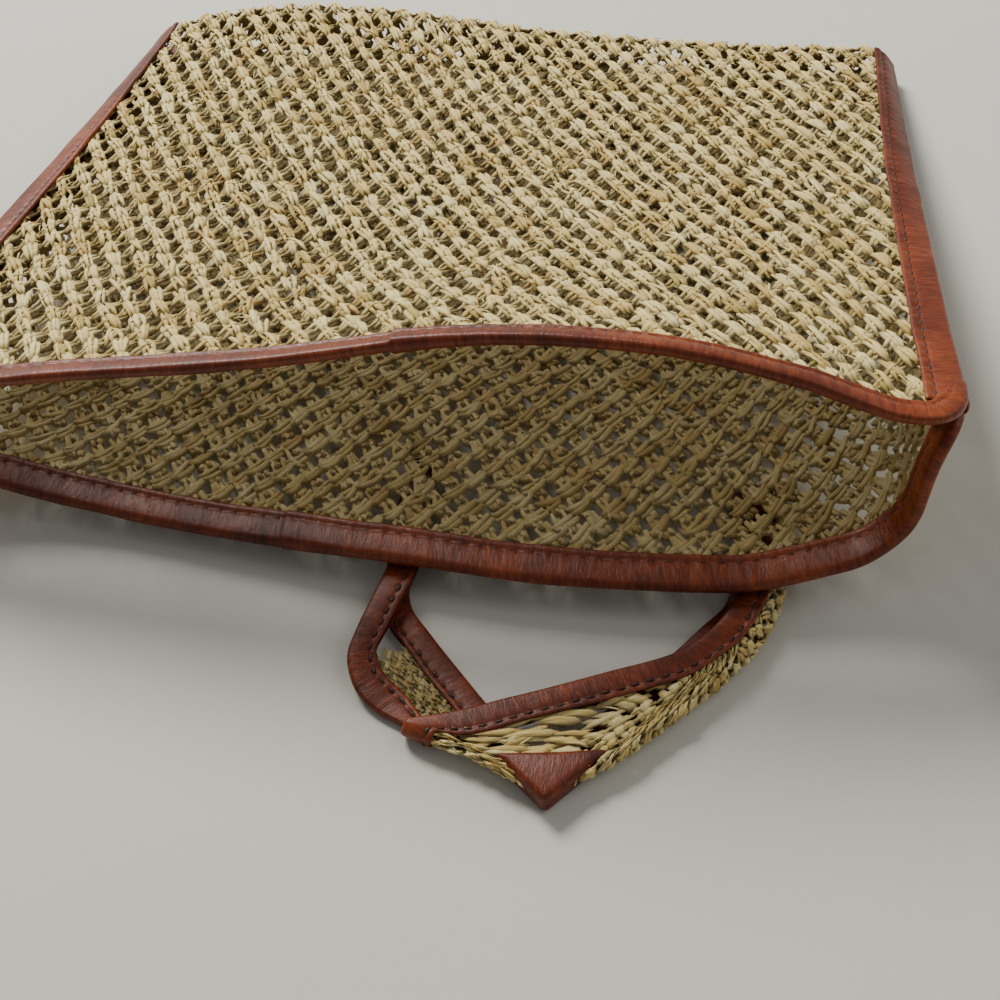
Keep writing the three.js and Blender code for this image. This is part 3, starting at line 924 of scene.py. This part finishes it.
# Lines of the folded handle: shares of its span and reach and the layer, from the left root to the tip.
LEFT_ARM = {
    "outer_edge": ((0.03, -0.65, 1), (0.04, -0.05, 1), (0.02, 0.14, 1), (0, 0.305, 0.95), (-0.01, 0.46, 0.7),
                   (0.025, 0.605, 0.3), (0.09, 0.7, 0), (0.15, 0.735, 0)),
    "outer_seam": ((0.11, -0.65, 1), (0.12, -0.03, 1), (0.095, 0.165, 1), (0.075, 0.305, 0.92),
                   (0.06, 0.415, 0.6), (0.085, 0.5, 0.2), (0.145, 0.59, 0), (0.235, 0.785, 0)),
    "inner_seam": ((0.03, -0.65, 0), (0.035, -0.08, 0), (0.04, 0.1, 0), (0.07, 0.235, 0), (0.12, 0.345, 0),
                   (0.185, 0.485, 0), (0.255, 0.625, 0), (0.32, 0.745, 0)),
    "inner_edge": ((0.11, -0.65, 0), (0.115, -0.055, 0), (0.11, 0.055, 0), (0.125, 0.145, 0),
                   (0.175, 0.255, 0), (0.245, 0.395, 0), (0.315, 0.54, 0), (0.375, 0.655, 0)),
}
# The same lines from the tip to the right root.
RIGHT_ARM = {
    "outer_edge": ((0.16, 0.745, 1), (0.275, 0.68, 1), (0.44, 0.56, 1), (0.615, 0.42, 1), (0.755, 0.31, 1),
                   (0.81, 0.235, 1), (0.845, 0.16, 1), (0.875, 0.07, 1), (0.9, -0.06, 1), (0.905, -0.65, 1)),
    "outer_seam": ((0.24, 0.8, 1), (0.31, 0.805, 1), (0.475, 0.685, 1), (0.655, 0.545, 1),
                   (0.8, 0.42, 1), (0.87, 0.315, 1), (0.915, 0.225, 1), (0.95, 0.105, 1),
                   (0.98, -0.05, 1), (0.985, -0.65, 1)),
    "fold": ((0.42, 0.95, 0.5), (0.465, 0.985, 0.5), (0.505, 1, 0.5), (0.55, 0.97, 0.5),
             (0.62, 0.885, 0.5), (0.79, 0.59, 0.5), (0.925, 0.31, 0.5), (0.98, 0.15, 0.5),
             (1.015, -0.04, 0.5), (1.02, -0.65, 0.5)),
    "inner_seam": ((0.4, 0.85, 0), (0.46, 0.92, 0), (0.5, 0.935, 0), (0.535, 0.905, 0), (0.59, 0.825, 0),
                   (0.68, 0.65, 0), (0.79, 0.42, 0), (0.885, 0.185, 0), (0.955, 0, 0), (0.96, -0.65, 0)),
    "inner_edge": ((0.445, 0.75, 0), (0.475, 0.785, 0), (0.495, 0.8, 0), (0.515, 0.775, 0), (0.545, 0.72, 0),
                   (0.615, 0.57, 0), (0.72, 0.345, 0), (0.82, 0.115, 0), (0.88, -0.05, 0), (0.88, -0.65, 0)),
}
LEFT_FOLD_AT_CREASE = (0.325, 0.82, 0)


def smooth_run(points: Array, steps: int) -> Array:
    """Centripetal smooth curve through points.

    Args:
        points: The points to pass through.
        steps: Steps between each two of them.

    Returns:
        Points along the curve, its ends among them.
    """
    ahead = 2 * points[0] - points[1]
    beyond = 2 * points[-1] - points[-2]
    line = np.concatenate([[ahead], points, [beyond]])
    out = []
    for spot in range(len(points) - 1):
        a, b, c, d = line[spot:spot + 4]
        gaps = [max(np.linalg.norm(q - p), 1e-9) ** 0.5 for p, q in ((a, b), (b, c), (c, d))]
        leave = ((b - a) / gaps[0] - (c - a) / (gaps[0] + gaps[1]) + (c - b) / gaps[1]) * gaps[1]
        arrive = ((c - b) / gaps[1] - (d - b) / (gaps[1] + gaps[2]) + (d - c) / gaps[2]) * gaps[1]
        for step in range(steps):
            t = step / steps
            out.append(
                (2 * t**3 - 3 * t**2 + 1) * b + (t**3 - 2 * t**2 + t) * leave
                + (3 * t**2 - 2 * t**3) * c + (t**3 - t**2) * arrive
            )
    out.append(points[-1])
    return np.array(out)


def even_run(lines: list, guide: Array, step: float) -> list:
    """Resamples several lines at even steps along a guide line.

    Args:
        lines: Lines of equal length to resample.
        guide: The line whose length counts.
        step: The step wanted.

    Returns:
        The resampled lines and the distances along the guide.
    """
    travel = travelled(guide)
    places = np.linspace(0, travel[-1], int(travel[-1] / step) + 1)
    even = [resampled(line, travel, places) for line in lines]
    return [*even, places]


@dataclass
class HandleForm:
    """Lines of the handle as it lies folded, in the frame's own place."""

    form: PouchForm
    span: float = 0.130
    reach: float = 0.072
    left: float = 0.012
    straw: float = 0.0016
    leather: float = 0.0010
    gap: float = 0.0003
    layer_gap: float = 0.0007
    lie: float = 0.00015
    fold: float = 0.0026
    steps: int = 12
    crease_steps: int = 16
    straw_row: int = 4

    @property
    def thick(self) -> float:
        """Thickness of a band of the handle."""
        return self.straw + 2 * (self.gap + self.leather)

    def points(self, shares: tuple) -> Array:
        """Places of rows of the tables."""
        rows = np.array(shares, dtype=float)
        return np.stack([
            self.span * rows[:, 0] - self.left,
            -self.form.sizes.handle_from - self.reach * rows[:, 1],
            self.lie + self.thick / 2 + (self.thick + self.layer_gap) * rows[:, 2],
        ], axis=1) + self.form.shift_to_frame()

    def lines(self) -> dict:
        """Every named line from the left root over the tip to the right root."""
        left = {name: self.points(rows) for name, rows in LEFT_ARM.items()}
        right = {name: self.points(rows) for name, rows in RIGHT_ARM.items()}
        left["fold"] = (left["outer_seam"] + left["inner_seam"]) / 2
        left["fold"][-1] = self.points((LEFT_FOLD_AT_CREASE,))[0]
        ruling = left["fold"][-1] - left["outer_edge"][-1]
        bulge = np.array([ruling[1], -ruling[0], 0]) / math.hypot(ruling[0], ruling[1])
        turns = math.pi * np.arange(1, self.crease_steps) / self.crease_steps
        lines = {}
        for name in right:
            under, over = smooth_run(left[name], self.steps), smooth_run(right[name], self.steps)
            start, end = under[-1], over[0]
            share = ((1 - np.cos(turns)) / 2)[:, None]
            turn = start + (end - start) * share + bulge * (np.sin(turns) * (end[2] - start[2]) / 2)[:, None]
            lines[name] = np.concatenate([under, turn, over])
        return lines


@dataclass
class HandleBinding:
    """One leather band of the handle, folded over the straw's edge, with its stitches."""

    name: str
    handle: HandleForm
    edge: str
    seam: str
    seed: int
    step: float = 0.0009
    inset: float = 0.0006
    full_half: float = 0.0029

    def build(self) -> tuple:
        """Builds the band and its stitches."""
        lines = self.handle.lines()
        middle = (lines[self.edge] + lines[self.seam]) / 2
        edge, seam, run = even_run([lines[self.edge], lines[self.seam]], middle, self.step)
        across = seam - edge
        width = np.linalg.norm(across, axis=1)
        across = across / width[:, None]
        travel = np.gradient(edge + seam, axis=0)
        up = np.cross(travel, across)
        up = up / np.linalg.norm(up, axis=1, keepdims=True)
        thin = self.handle.thick / 2 / self.full_half

        def over(sign: int) -> object:
            """Places points of the band on one of its faces."""
            return lambda depth, height: (
                edge[:, None] + across[:, None] * (depth + self.inset)[..., None]
                + sign * up[:, None] * height[..., None])

        faces = over(1), over(-1)
        band = LeatherBand(
            self.name + "_leather", *faces, run, width - self.inset, seed=self.seed, thin=thin)
        shares = np.array([0.3, band.profile.seam_share + 0.06, 1.0])
        grid = edge[:, None] + across[:, None] * (width[:, None] * shares[None, :])[..., None]
        surface = Surface(grid, (-0.5, 0.5), (0, run[-1]), 1.0)
        facing = np.sign(np.sum(surface.normals[len(grid) // 4, 1] * up[len(grid) // 4]))
        surface.normals = surface.normals * facing
        scale = float(np.mean(width) * 0.7)
        surface.u_range = (-scale / 2, scale / 2)
        places = np.arange(0.002, run[-1] - 0.002, STITCH_PITCH)
        centres = np.stack([np.zeros(len(places)), places], axis=1)
        angles = np.full(len(places), math.pi / 2)
        height = 0.00205 * thin
        rows = [
            stitch_row(self.name + "_upper_row", surface, centres, angles, height, self.seed + 50),
            stitch_row(self.name + "_under_row", surface, centres, angles, -height, self.seed + 51),
        ]
        return band.build(), join(rows, self.name + "_stitches"), self.name


@dataclass
class HandleStrip:
    """The straw between the two bands of the handle, folded round where it lies double."""

    handle: HandleForm
    nominal: float = 0.036
    across: int = 29
    step: float = 0.0015

    def surface(self) -> Surface:
        """The strip's middle as a surface with an even flat width."""
        lines = self.handle.lines()
        first = self.handle.straw_row * self.handle.steps
        lines = {name: line[first:] for name, line in lines.items()}
        names = list(lines)
        *even, run = even_run([lines[name] for name in names], lines["fold"], self.step)
        lines = dict(zip(names, even))
        rows = []
        for spot in range(len(run)):
            leave, fold, arrive = (lines[name][spot] for name in ("outer_seam", "fold", "inner_seam"))
            outer, inner = lines["outer_edge"][spot], lines["inner_edge"][spot]

            def beside(seam: Array) -> Array:
                """Point just before the fold on the way to a seam."""
                flat = np.array([seam[0] - fold[0], seam[1] - fold[1], 0.0])
                share = min(0.6, self.handle.fold / max(np.linalg.norm(flat), 1e-9))
                return np.array([fold[0], fold[1], seam[2]]) + flat * share

            before, after = beside(leave), beside(arrive)
            slot_out = leave + (outer - leave) * 0.45
            slot_in = arrive + (inner - arrive) * 0.45
            path = np.array([
                slot_out, leave, (leave + before) / 2, before, fold,
                after, (after + arrive) / 2, arrive, slot_in,
            ])
            smooth = smooth_run(path, 6)
            travel = travelled(smooth)
            places = np.linspace(0, travel[-1], self.across)
            rows.append(resampled(smooth, travel, places))
        surface = Surface(np.array(rows), (-self.nominal / 2, self.nominal / 2), (0, run[-1]), 1.0)
        top = surface.normals[len(run) * 2 // 3, 4]
        if top[2] < 0:
            surface.normals = -surface.normals
        return surface

    def build(self) -> list:
        """Builds the strip's straw."""
        surface = self.surface()
        length = surface.v_range[1]
        net = StrawNet(
            "handle_straw", surface,
            inside=lambda u, v: (np.abs(u) < self.nominal / 2 - 0.002) & (v > 0) & (v < length - 0.002),
            pitch=0.0062, row=0.0031, seed=9, flat=0.5, fibres=0.7, wobble=0.0004,
            plies=(
                Ply(1, -0.0006, 0.0, 0.0009, 1.25), Ply(1, 0.0006, 0.0005, 0.0009, 1.2),
                Ply(-1, -0.0002, -0.0003, 0.001, 1.2), Ply(-1, 0.0005, 0.0005, 0.0006, 0.8, 0.6),
            ),
        )
        return net.build()


@dataclass
class HandleNub:
    """The leather corner over the tip of the folded handle."""

    handle: HandleForm
    corners: tuple = ((0.375, 0.87, 0.0), (0.505, 1.075, 0.0), (0.64, 0.8, 0.0), (0.515, 0.84, 0.0))
    low: float = 0.0002
    high: float = 0.0092
    round: float = 0.0022

    def build(self) -> Piece:
        """Models the corner from a block with rounded edges."""
        plan = self.handle.points(self.corners)
        bpy.ops.object.select_all(action="DESELECT")
        bpy.ops.mesh.primitive_cylinder_add(vertices=len(plan), radius=1, depth=1, end_fill_type="NGON")
        nub = bpy.context.object
        nub.name = nub.data.name = "handle_binding_inner_nub"

        def spoke(corner: bpy.types.MeshVertex) -> float:
            """Direction of a corner of the block from its middle."""
            return round(math.atan2(corner.co.y, corner.co.x), 3)

        spokes = sorted({spoke(corner) for corner in nub.data.vertices}, reverse=True)
        for corner in nub.data.vertices:
            place = plan[::-1][spokes.index(spoke(corner))]
            corner.co = (place[0], place[1], self.high if corner.co.z > 0 else self.low)
        fix_normals(nub)
        bpy.ops.object.mode_set(mode="EDIT")
        bpy.ops.mesh.select_all(action="SELECT")
        bpy.ops.mesh.bevel(offset=self.round, segments=5, affect="EDGES")
        bpy.ops.object.mode_set(mode="OBJECT")
        bpy.ops.object.shade_smooth()
        set_attribute(nub, "run", np.array([corner.co[:] for corner in nub.data.vertices]) / MM)
        return nub


# Finishes


class NodeSheet:
    """Short ways to place and wire the nodes of a material or a group."""

    def __init__(self, tree: Tree):
        """Keeps the tree."""
        self.tree = tree

    def add(self, kind: str, **values: object) -> bpy.types.Node:
        """Adds a node.

        Args:
            kind: The node's type name.
            values: Settings of the node; a name with an input's words and underscores sets that input,
                and a linked value is wired to it.

        Returns:
            The node.
        """
        node = self.tree.nodes.new(kind)
        labels = {socket.name.lower().replace(" ", "_") for socket in node.inputs}
        settings = [name for name in values if hasattr(node, name) and name not in labels]
        for name in settings:
            setattr(node, name, values[name])
        inputs = {socket.name.lower().replace(" ", "_"): socket for socket in node.inputs if socket.enabled}
        for name, value in values.items():
            if name in settings:
                continue
            socket = node.inputs[int(name[1:])] if name[0] == "i" and name[1:].isdigit() else inputs[name]
            if isinstance(value, Socket):
                self.tree.links.new(value, socket)
            else:
                socket.default_value = value
        return node

    def math(self, operation: str, first: object, second: object) -> Socket:
        """A Math node's result."""
        return self.add("ShaderNodeMath", operation=operation, i0=first, i1=second).outputs[0]

    def times(self, value: Socket, factor: float) -> Socket:
        """A value times a factor."""
        return self.math("MULTIPLY", value, factor)

    def stretch(self, vector: Socket, factors: tuple) -> Socket:
        """A vector stretched along each axis."""
        return self.add("ShaderNodeVectorMath", operation="MULTIPLY", i0=vector, i1=factors).outputs[0]

    def attribute(self, name: str, output: str = "Vector") -> Socket:
        """A stored attribute of the mesh."""
        return self.add("ShaderNodeAttribute", attribute_name=name).outputs[output]

    def place(self) -> Socket:
        """Object coordinates."""
        return self.add("ShaderNodeTexCoord").outputs["Object"]

    def wire(self, shader: bpy.types.Node, height: Socket, bump: dict, **values: Socket) -> None:
        """Wires a shader's inputs, and its normal from a height with the Bump node's settings."""
        for name, value in values.items():
            self.tree.links.new(value, shader.inputs[name.replace("_", " ").title()])
        normal = self.add("ShaderNodeBump", height=height, **bump)
        self.tree.links.new(normal.outputs[0], shader.inputs["Normal"])

    def cloud(self, group: Tree, place: Socket, scale: float, spare: float) -> Socket:
        """Mask of the mottle group, cut off by the same share at both ends."""
        span = {"low": spare, "high": 1 - spare}
        return self.add("ShaderNodeGroup", node_tree=group, vector=place, scale=scale, **span).outputs["Mask"]

    def ramp(self, value: Socket, *stops: tuple) -> Socket:
        """Colour from a ramp of (place, colour) stops."""
        node = self.add("ShaderNodeValToRGB", fac=value)
        elements = node.color_ramp.elements
        while len(elements) < len(stops):
            elements.new(0.5)
        for element, (place, colour) in zip(elements, stops):
            element.position = place
            element.color = (*colour, 1.0)
        return node.outputs["Color"]

    def spread(
        self, value: Socket, low: object, high: object, start: float = 0.0, end: float = 1.0
    ) -> Socket:
        """A value's range stretched to another one."""
        span = {"from_min": low, "from_max": high, "to_min": start, "to_max": end}
        return self.add("ShaderNodeMapRange", value=value, **span).outputs[0]

    def mix(self, share: object, first: object, second: object, blend: str = "MIX") -> Socket:
        """Mix of two colours."""
        node = self.tree.nodes.new("ShaderNodeMix")
        node.data_type, node.blend_type = "RGBA", blend
        for socket, value in ((node.inputs[0], share), (node.inputs[6], first), (node.inputs[7], second)):
            if isinstance(value, Socket):
                self.tree.links.new(value, socket)
            else:
                socket.default_value = (*value, 1.0) if isinstance(value, tuple) else value
        return node.outputs[2]


def shade_of(red: int, green: int, blue: int) -> tuple:
    """Scene colour of a screen colour."""
    return tuple(
        ((c / 255 + 0.055) / 1.055) ** 2.4 if c > 10 else c / 255 / 12.92 for c in (red, green, blue))


VECTOR = "NodeSocketVector"
NUMBER = "NodeSocketFloat"


def new_group(name: str, inputs: dict, outputs: dict) -> tuple:
    """Starts a shader node group.

    Args:
        name: Name of the group.
        inputs: Socket types by name.
        outputs: Socket types by name.

    Returns:
        The group, its NodeSheet, its input node and its output node.
    """
    group = bpy.data.node_groups.new(name, "ShaderNodeTree")
    for label, kind in inputs.items():
        group.interface.new_socket(label, in_out="INPUT", socket_type=kind)
    for label, kind in outputs.items():
        group.interface.new_socket(label, in_out="OUTPUT", socket_type=kind)
    sheet = NodeSheet(group)
    return group, sheet, sheet.add("NodeGroupInput"), sheet.add("NodeGroupOutput")


def mottle_group() -> Tree:
    """Slow cloudy variation over an object, as a mask."""
    group, sheet, given, result = new_group(
        "mottle", {"Vector": VECTOR, "Scale": NUMBER, "Low": NUMBER, "High": NUMBER}, {"Mask": NUMBER})
    take = given.outputs
    noise = sheet.add(
        "ShaderNodeTexNoise", vector=take["Vector"], scale=take["Scale"], detail=4.0, roughness=0.6)
    group.links.new(sheet.spread(noise.outputs["Fac"], take["Low"], take["High"]), result.inputs["Mask"])
    return group


def fibre_group() -> Tree:
    """Fine lines along a strand, as a height and a mask."""
    group, sheet, given, result = new_group(
        "fibre_lines", {"Strand": VECTOR, "Fineness": NUMBER}, {"Height": NUMBER, "Mask": NUMBER})
    take = given.outputs
    drawn = sheet.stretch(take["Strand"], (0.16, 1.0, 1.0))
    fine = sheet.add(
        "ShaderNodeTexNoise", vector=drawn, scale=take["Fineness"], detail=3.0, roughness=0.65)
    coarse = sheet.add(
        "ShaderNodeTexNoise", vector=drawn, scale=sheet.times(take["Fineness"], 0.38), detail=2.0)
    both = sheet.math("ADD", sheet.times(fine.outputs["Fac"], 0.6), sheet.times(coarse.outputs["Fac"], 0.6))
    group.links.new(both, result.inputs["Height"])
    group.links.new(sheet.spread(both, 0.45, 0.75), result.inputs["Mask"])
    return group


class Finish:
    """A procedural finish that dresses pieces."""

    slot = ""

    def start(self, name: str) -> tuple:
        """New material with its NodeSheet and its Principled shader."""
        material = bpy.data.materials.new(name)
        material.use_nodes = True
        sheet = NodeSheet(material.node_tree)
        return material, sheet, material.node_tree.nodes["Principled BSDF"]

    def dress(self, piece: Piece) -> None:
        """Puts the finish on a piece."""
        piece.data.materials.clear()
        piece.data.materials.append(self.material)


def set_inputs(shader: bpy.types.Node, **values: float) -> None:
    """Sets constants on a shader's own sockets."""
    for name, value in values.items():
        shader.inputs[name.replace("_", " ").title().replace("Ior", "IOR")].default_value = value


@dataclass(frozen=True)
class StrawFinish(Finish):
    """Dry twisted straw, cream with tan and olive strands, with painted shade in its hollows and on its inner
    side.
    """

    mottle: Tree
    fibre: Tree
    name: str = "straw"
    pale: tuple = (253, 241, 178)
    cream: tuple = (242, 222, 146)
    tan: tuple = (206, 174, 96)
    olive: tuple = (178, 164, 82)
    painted_shade: tuple = (66, 40, 10)
    slot: str = "straw"
    material: bpy.types.Material = field(init=False, default=None)

    def __post_init__(self) -> None:
        """Builds the material."""
        material, sheet, shader = self.start(self.name)
        lines = sheet.add(
            "ShaderNodeGroup", node_tree=self.fibre, strand=sheet.attribute("strand"), fineness=3.6).outputs
        cloud = sheet.cloud(self.mottle, sheet.place(), 16.0, 0.35)
        tones = (0.0, self.olive), (0.18, self.tan), (0.5, self.cream), (0.95, self.pale)
        base = sheet.ramp(sheet.attribute("shade", "Fac"), *((at, shade_of(*tone)) for at, tone in tones))
        gaps = sheet.spread(lines["Mask"], 0, 1, 0.55, 0.0)
        lined = sheet.mix(gaps, base, shade_of(*self.tan), "MULTIPLY")
        worn = sheet.mix(sheet.spread(cloud, 0, 1, 0.0, 0.28), lined, shade_of(*self.tan))
        # Painted shade: where a strand lies low or on the panel's inner side ("proud" low or below zero), the
        # straw is mixed towards a dark shade colour.
        low = sheet.spread(sheet.attribute("proud", "Fac"), 1.1, -0.6, 0.0, 0.6)
        sheet.wire(
            shader, lines["Height"], {"strength": 0.55, "distance": 0.0006},
            base_color=sheet.mix(low, worn, shade_of(*self.painted_shade)),
            roughness=sheet.spread(lines["Mask"], 0, 1, 0.78, 0.55),
        )
        set_inputs(shader, specular_ior_level=0.35, sheen_weight=0.12, sheen_roughness=0.5)
        object.__setattr__(self, "material", material)


@dataclass(frozen=True)
class LeatherFinish(Finish):
    """Smooth brown leather with creases across the fold, painted darker in their hollows and lighter on their
    ridges, as painted shade and light.
    """

    mottle: Tree
    name: str = "brown_leather"
    lit: tuple = (142, 66, 29)
    middle: tuple = (99, 37, 11)
    dark: tuple = (55, 16, 3)
    slot: str = "leather"
    material: bpy.types.Material = field(init=False, default=None)

    def __post_init__(self) -> None:
        """Builds the material."""
        material, sheet, shader = self.start(self.name)
        place = sheet.place()
        cloud = sheet.cloud(self.mottle, place, 45.0, 0.3)
        broad = sheet.cloud(self.mottle, place, 9.0, 0.35)
        drawn = sheet.stretch(sheet.attribute("run"), (1.0, 0.22, 1.0))
        crease = sheet.add(
            "ShaderNodeTexNoise", vector=drawn, scale=0.75, detail=5.0, roughness=0.62, distortion=0.6)
        crease = crease.outputs["Fac"]
        grain = sheet.add("ShaderNodeTexVoronoi", vector=place, scale=1500.0, randomness=1.0)
        pores = sheet.add("ShaderNodeTexNoise", vector=place, scale=2600.0, detail=2.0).outputs["Fac"]
        tone = sheet.math("ADD", sheet.times(cloud, 0.45), sheet.times(broad, 0.3))
        # Painted shade in the crease hollows: the crease relief also darkens the colour there and lightens it
        # on the ridges.
        tone = sheet.math("ADD", tone, sheet.times(sheet.spread(crease, 0.35, 0.65), 0.35))
        tones = (0.1, self.dark), (0.5, self.middle), (0.95, self.lit)
        height = sheet.math("ADD", sheet.times(crease, 1.0), sheet.times(grain.outputs["Distance"], 0.12))
        sheet.wire(
            shader, sheet.math("ADD", height, sheet.times(pores, 0.06)),
            {"strength": 0.45, "distance": 0.0006},
            base_color=sheet.ramp(tone, *((share, shade_of(*colour)) for share, colour in tones)),
            roughness=sheet.spread(tone, 0, 1, 0.5, 0.34),
        )
        set_inputs(shader, specular_ior_level=0.32)
        object.__setattr__(self, "material", material)


@dataclass(frozen=True)
class ThreadFinish(Finish):
    """Waxed dark brown sewing thread."""

    fibre: Tree
    name: str = "thread"
    dark: tuple = (38, 18, 10)
    lit: tuple = (84, 46, 26)
    slot: str = "leather"
    material: bpy.types.Material = field(init=False, default=None)

    def __post_init__(self) -> None:
        """Builds the material."""
        material, sheet, shader = self.start(self.name)
        lines = sheet.add(
            "ShaderNodeGroup", node_tree=self.fibre, strand=sheet.attribute("strand"), fineness=6.0).outputs
        sheet.wire(
            shader, lines["Height"], {"strength": 0.5, "distance": 0.0002},
            base_color=sheet.mix(lines["Mask"], shade_of(*self.dark), shade_of(*self.lit)),
            roughness=sheet.spread(lines["Mask"], 0, 1, 0.6, 0.45),
        )
        object.__setattr__(self, "material", material)


@dataclass(frozen=True)
class FloorFinish(Finish):
    """Plain pale table top."""

    mottle: Tree
    colour: tuple = (214, 211, 199)
    material: bpy.types.Material = field(init=False, default=None)

    def __post_init__(self) -> None:
        """Builds the material."""
        material, sheet, shader = self.start("pale_floor")
        cloud = sheet.cloud(self.mottle, sheet.place(), 3.0, 0.2)
        darker = (channel - 4 for channel in self.colour)
        tone = sheet.mix(cloud, shade_of(*self.colour), shade_of(*darker))
        material.node_tree.links.new(tone, shader.inputs["Base Color"])
        set_inputs(shader, roughness=0.9, specular_ior_level=0.1)
        object.__setattr__(self, "material", material)


# Studio


@dataclass
class Studio:
    """Pale floor, soft daylight and the camera of the photograph."""

    form: PouchForm
    focal_pixels: float = 1500.12
    camera_place: tuple = (0.08403, -0.57177, 0.39048)
    pitch: float = 50.14
    yaw: float = -10.37
    roll: float = -3.69

    def camera(self) -> None:
        """Places the camera."""
        pitch, yaw, roll = (math.radians(angle) for angle in (self.pitch, self.yaw, self.roll))
        ahead = Vector((math.sin(yaw) * math.cos(pitch), math.cos(yaw) * math.cos(pitch), -math.sin(pitch)))
        right = Vector((math.cos(yaw), -math.sin(yaw), 0))
        up = right.cross(ahead)
        turned_right = right * math.cos(roll) + up * math.sin(roll)
        turned_up = up * math.cos(roll) - right * math.sin(roll)
        data = bpy.data.cameras.new("photo_camera")
        data.sensor_width = 36
        data.lens = self.focal_pixels * 36 / 1000
        data.clip_start = 0.02
        camera = bpy.data.objects.new("photo_camera", data)
        bpy.context.scene.collection.objects.link(camera)
        place = Vector(self.camera_place) + Vector(self.form.shift_to_frame())
        turned = Matrix((turned_right, turned_up, -ahead)).transposed().to_4x4()
        camera.matrix_world = Matrix.Translation(place) @ turned
        bpy.context.scene.camera = camera

    def light(self, name: str, place: tuple, size: float, power: float, colour: tuple) -> None:
        """Adds one soft area light that faces the bag."""
        data = bpy.data.lights.new(name, "AREA")
        data.shape, data.size, data.energy, data.color = "DISK", size, power, colour
        lamp = bpy.data.objects.new(name, data)
        bpy.context.scene.collection.objects.link(lamp)
        lamp.location = place
        lamp.rotation_euler = (Vector((0, 0, 0.03)) - Vector(place)).to_track_quat("-Z", "Y").to_euler()

    def build(self, finish: FloorFinish) -> None:
        """Builds the floor, the lights, the sky and the camera."""
        select_only(bpy.context.scene.objects[0])
        bpy.ops.object.select_all(action="DESELECT")
        bpy.ops.mesh.primitive_plane_add(size=6, location=(0, 0, 0))
        floor = bpy.context.object
        floor.name = "floor"
        finish.dress(floor)
        self.light("window", (-0.85, 1.1, 1.3), 0.8, 58, (1.0, 0.985, 0.95))
        self.light("fill", (1.3, 0.3, 1.2), 1.4, 7, (1.0, 0.99, 0.98))
        world = bpy.data.worlds.new("studio")
        world.use_nodes = True
        world.node_tree.nodes["Background"].inputs["Color"].default_value = (0.93, 0.95, 1.0, 1)
        world.node_tree.nodes["Background"].inputs["Strength"].default_value = 0.25
        bpy.context.scene.world = world
        self.camera()


# The bag


@dataclass
class StrawBag:
    """The whole bag: two straw panels, their bindings and the handle.

    Straw starts at straw_from from a bound edge. Between press_from and press_to it grows from
    pressed, its share of the full height under the leather, to all of it.
    """

    form: PouchForm = field(default_factory=PouchForm)
    straw_from: float = 0.0065
    press_from: float = 0.008
    press_to: float = 0.0135
    pressed: float = 0.3

    def __post_init__(self) -> None:
        """Makes the finishes and the two panel surfaces."""
        mottle, fibre = mottle_group(), fibre_group()
        self.straw = StrawFinish(mottle, fibre)
        self.leather = LeatherFinish(mottle)
        self.thread = ThreadFinish(fibre)
        self.floor = FloorFinish(mottle)
        shift = self.form.shift_to_frame()
        self.front = self.form.surface(Panel.FRONT, shift)
        self.back = self.form.surface(Panel.BACK, shift)

    def hand_over(self, piece: Piece, finish: Finish, node: str) -> None:
        """Dresses a piece and gives it its place in the frame."""
        finish.dress(piece)
        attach(piece, ROOT)
        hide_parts(node)
        LOG.info("%s: %d faces", piece.name, len(piece.data.polygons))

    def net(self, panel: Panel, surface: Surface, pitch: float, row: float, thick: float, seed: int) -> None:
        """Builds and dresses the straw of one panel."""
        sizes, radius = self.form.sizes, self.form.corner_radius

        def from_edge(u: Array, v: Array) -> Array:
            """Distance from the nearest bound edge, round the corners too."""
            along = np.clip(v / sizes.length, 0, 1)
            aside, short = sizes.half_width(u, along) - np.abs(u), sizes.length - v
            corner = radius - np.hypot(radius - aside, radius - short)
            return np.where((aside < radius) & (short < radius), corner, np.minimum(aside, short))

        net = StrawNet(
            "straw_" + panel.value, surface,
            inside=lambda u, v: (from_edge(u, v) > self.straw_from) & (v > -self.form.fold_arc),
            pitch=pitch, row=row, seed=seed, thick=thick,
            press=lambda u, v: self.pressed
            + (1 - self.pressed) * smooth_step(self.press_from, self.press_to, from_edge(u, v)),
        )
        for piece in net.build():
            self.hand_over(piece, self.straw, "straw_body")

    def build(self) -> None:
        """Builds every piece of the bag."""
        self.net(Panel.FRONT, self.front, 0.0098, 0.0088, 1.0, 3)
        self.net(Panel.BACK, self.back, 0.0092, 0.0060, 1.42, 4)
        bindings = [
            SeamBinding(Side.LEFT, self.form, self.front, self.back),
            SeamBinding(Side.RIGHT, self.form, self.front, self.back),
            RimBinding(Panel.FRONT, self.form, self.front, lap=0.012),
            RimBinding(Panel.BACK, self.form, self.back, lap=-0.033),
        ]
        handle = HandleForm(self.form)
        bindings += [
            HandleBinding("handle_binding_outer", handle, "outer_edge", "outer_seam", 61),
            HandleBinding("handle_binding_inner", handle, "inner_edge", "inner_seam", 62),
        ]
        for binding in bindings:
            band, stitches, node = binding.build()
            self.hand_over(band, self.leather, node)
            self.hand_over(stitches, self.thread, node)
        for piece in HandleStrip(handle).build():
            self.hand_over(piece, self.straw, "handle_strip")
        self.hand_over(HandleNub(handle).build(), self.leather, "handle_binding_inner")


def main() -> None:
    """Builds the bag and the studio."""
    logging.basicConfig(level=logging.INFO, format="%(message)s")
    bpy.ops.object.select_all(action="DESELECT")
    bag = StrawBag()
    Studio(bag.form).build(bag.floor)
    bag.build()


if __name__ == "__main__":
    main()
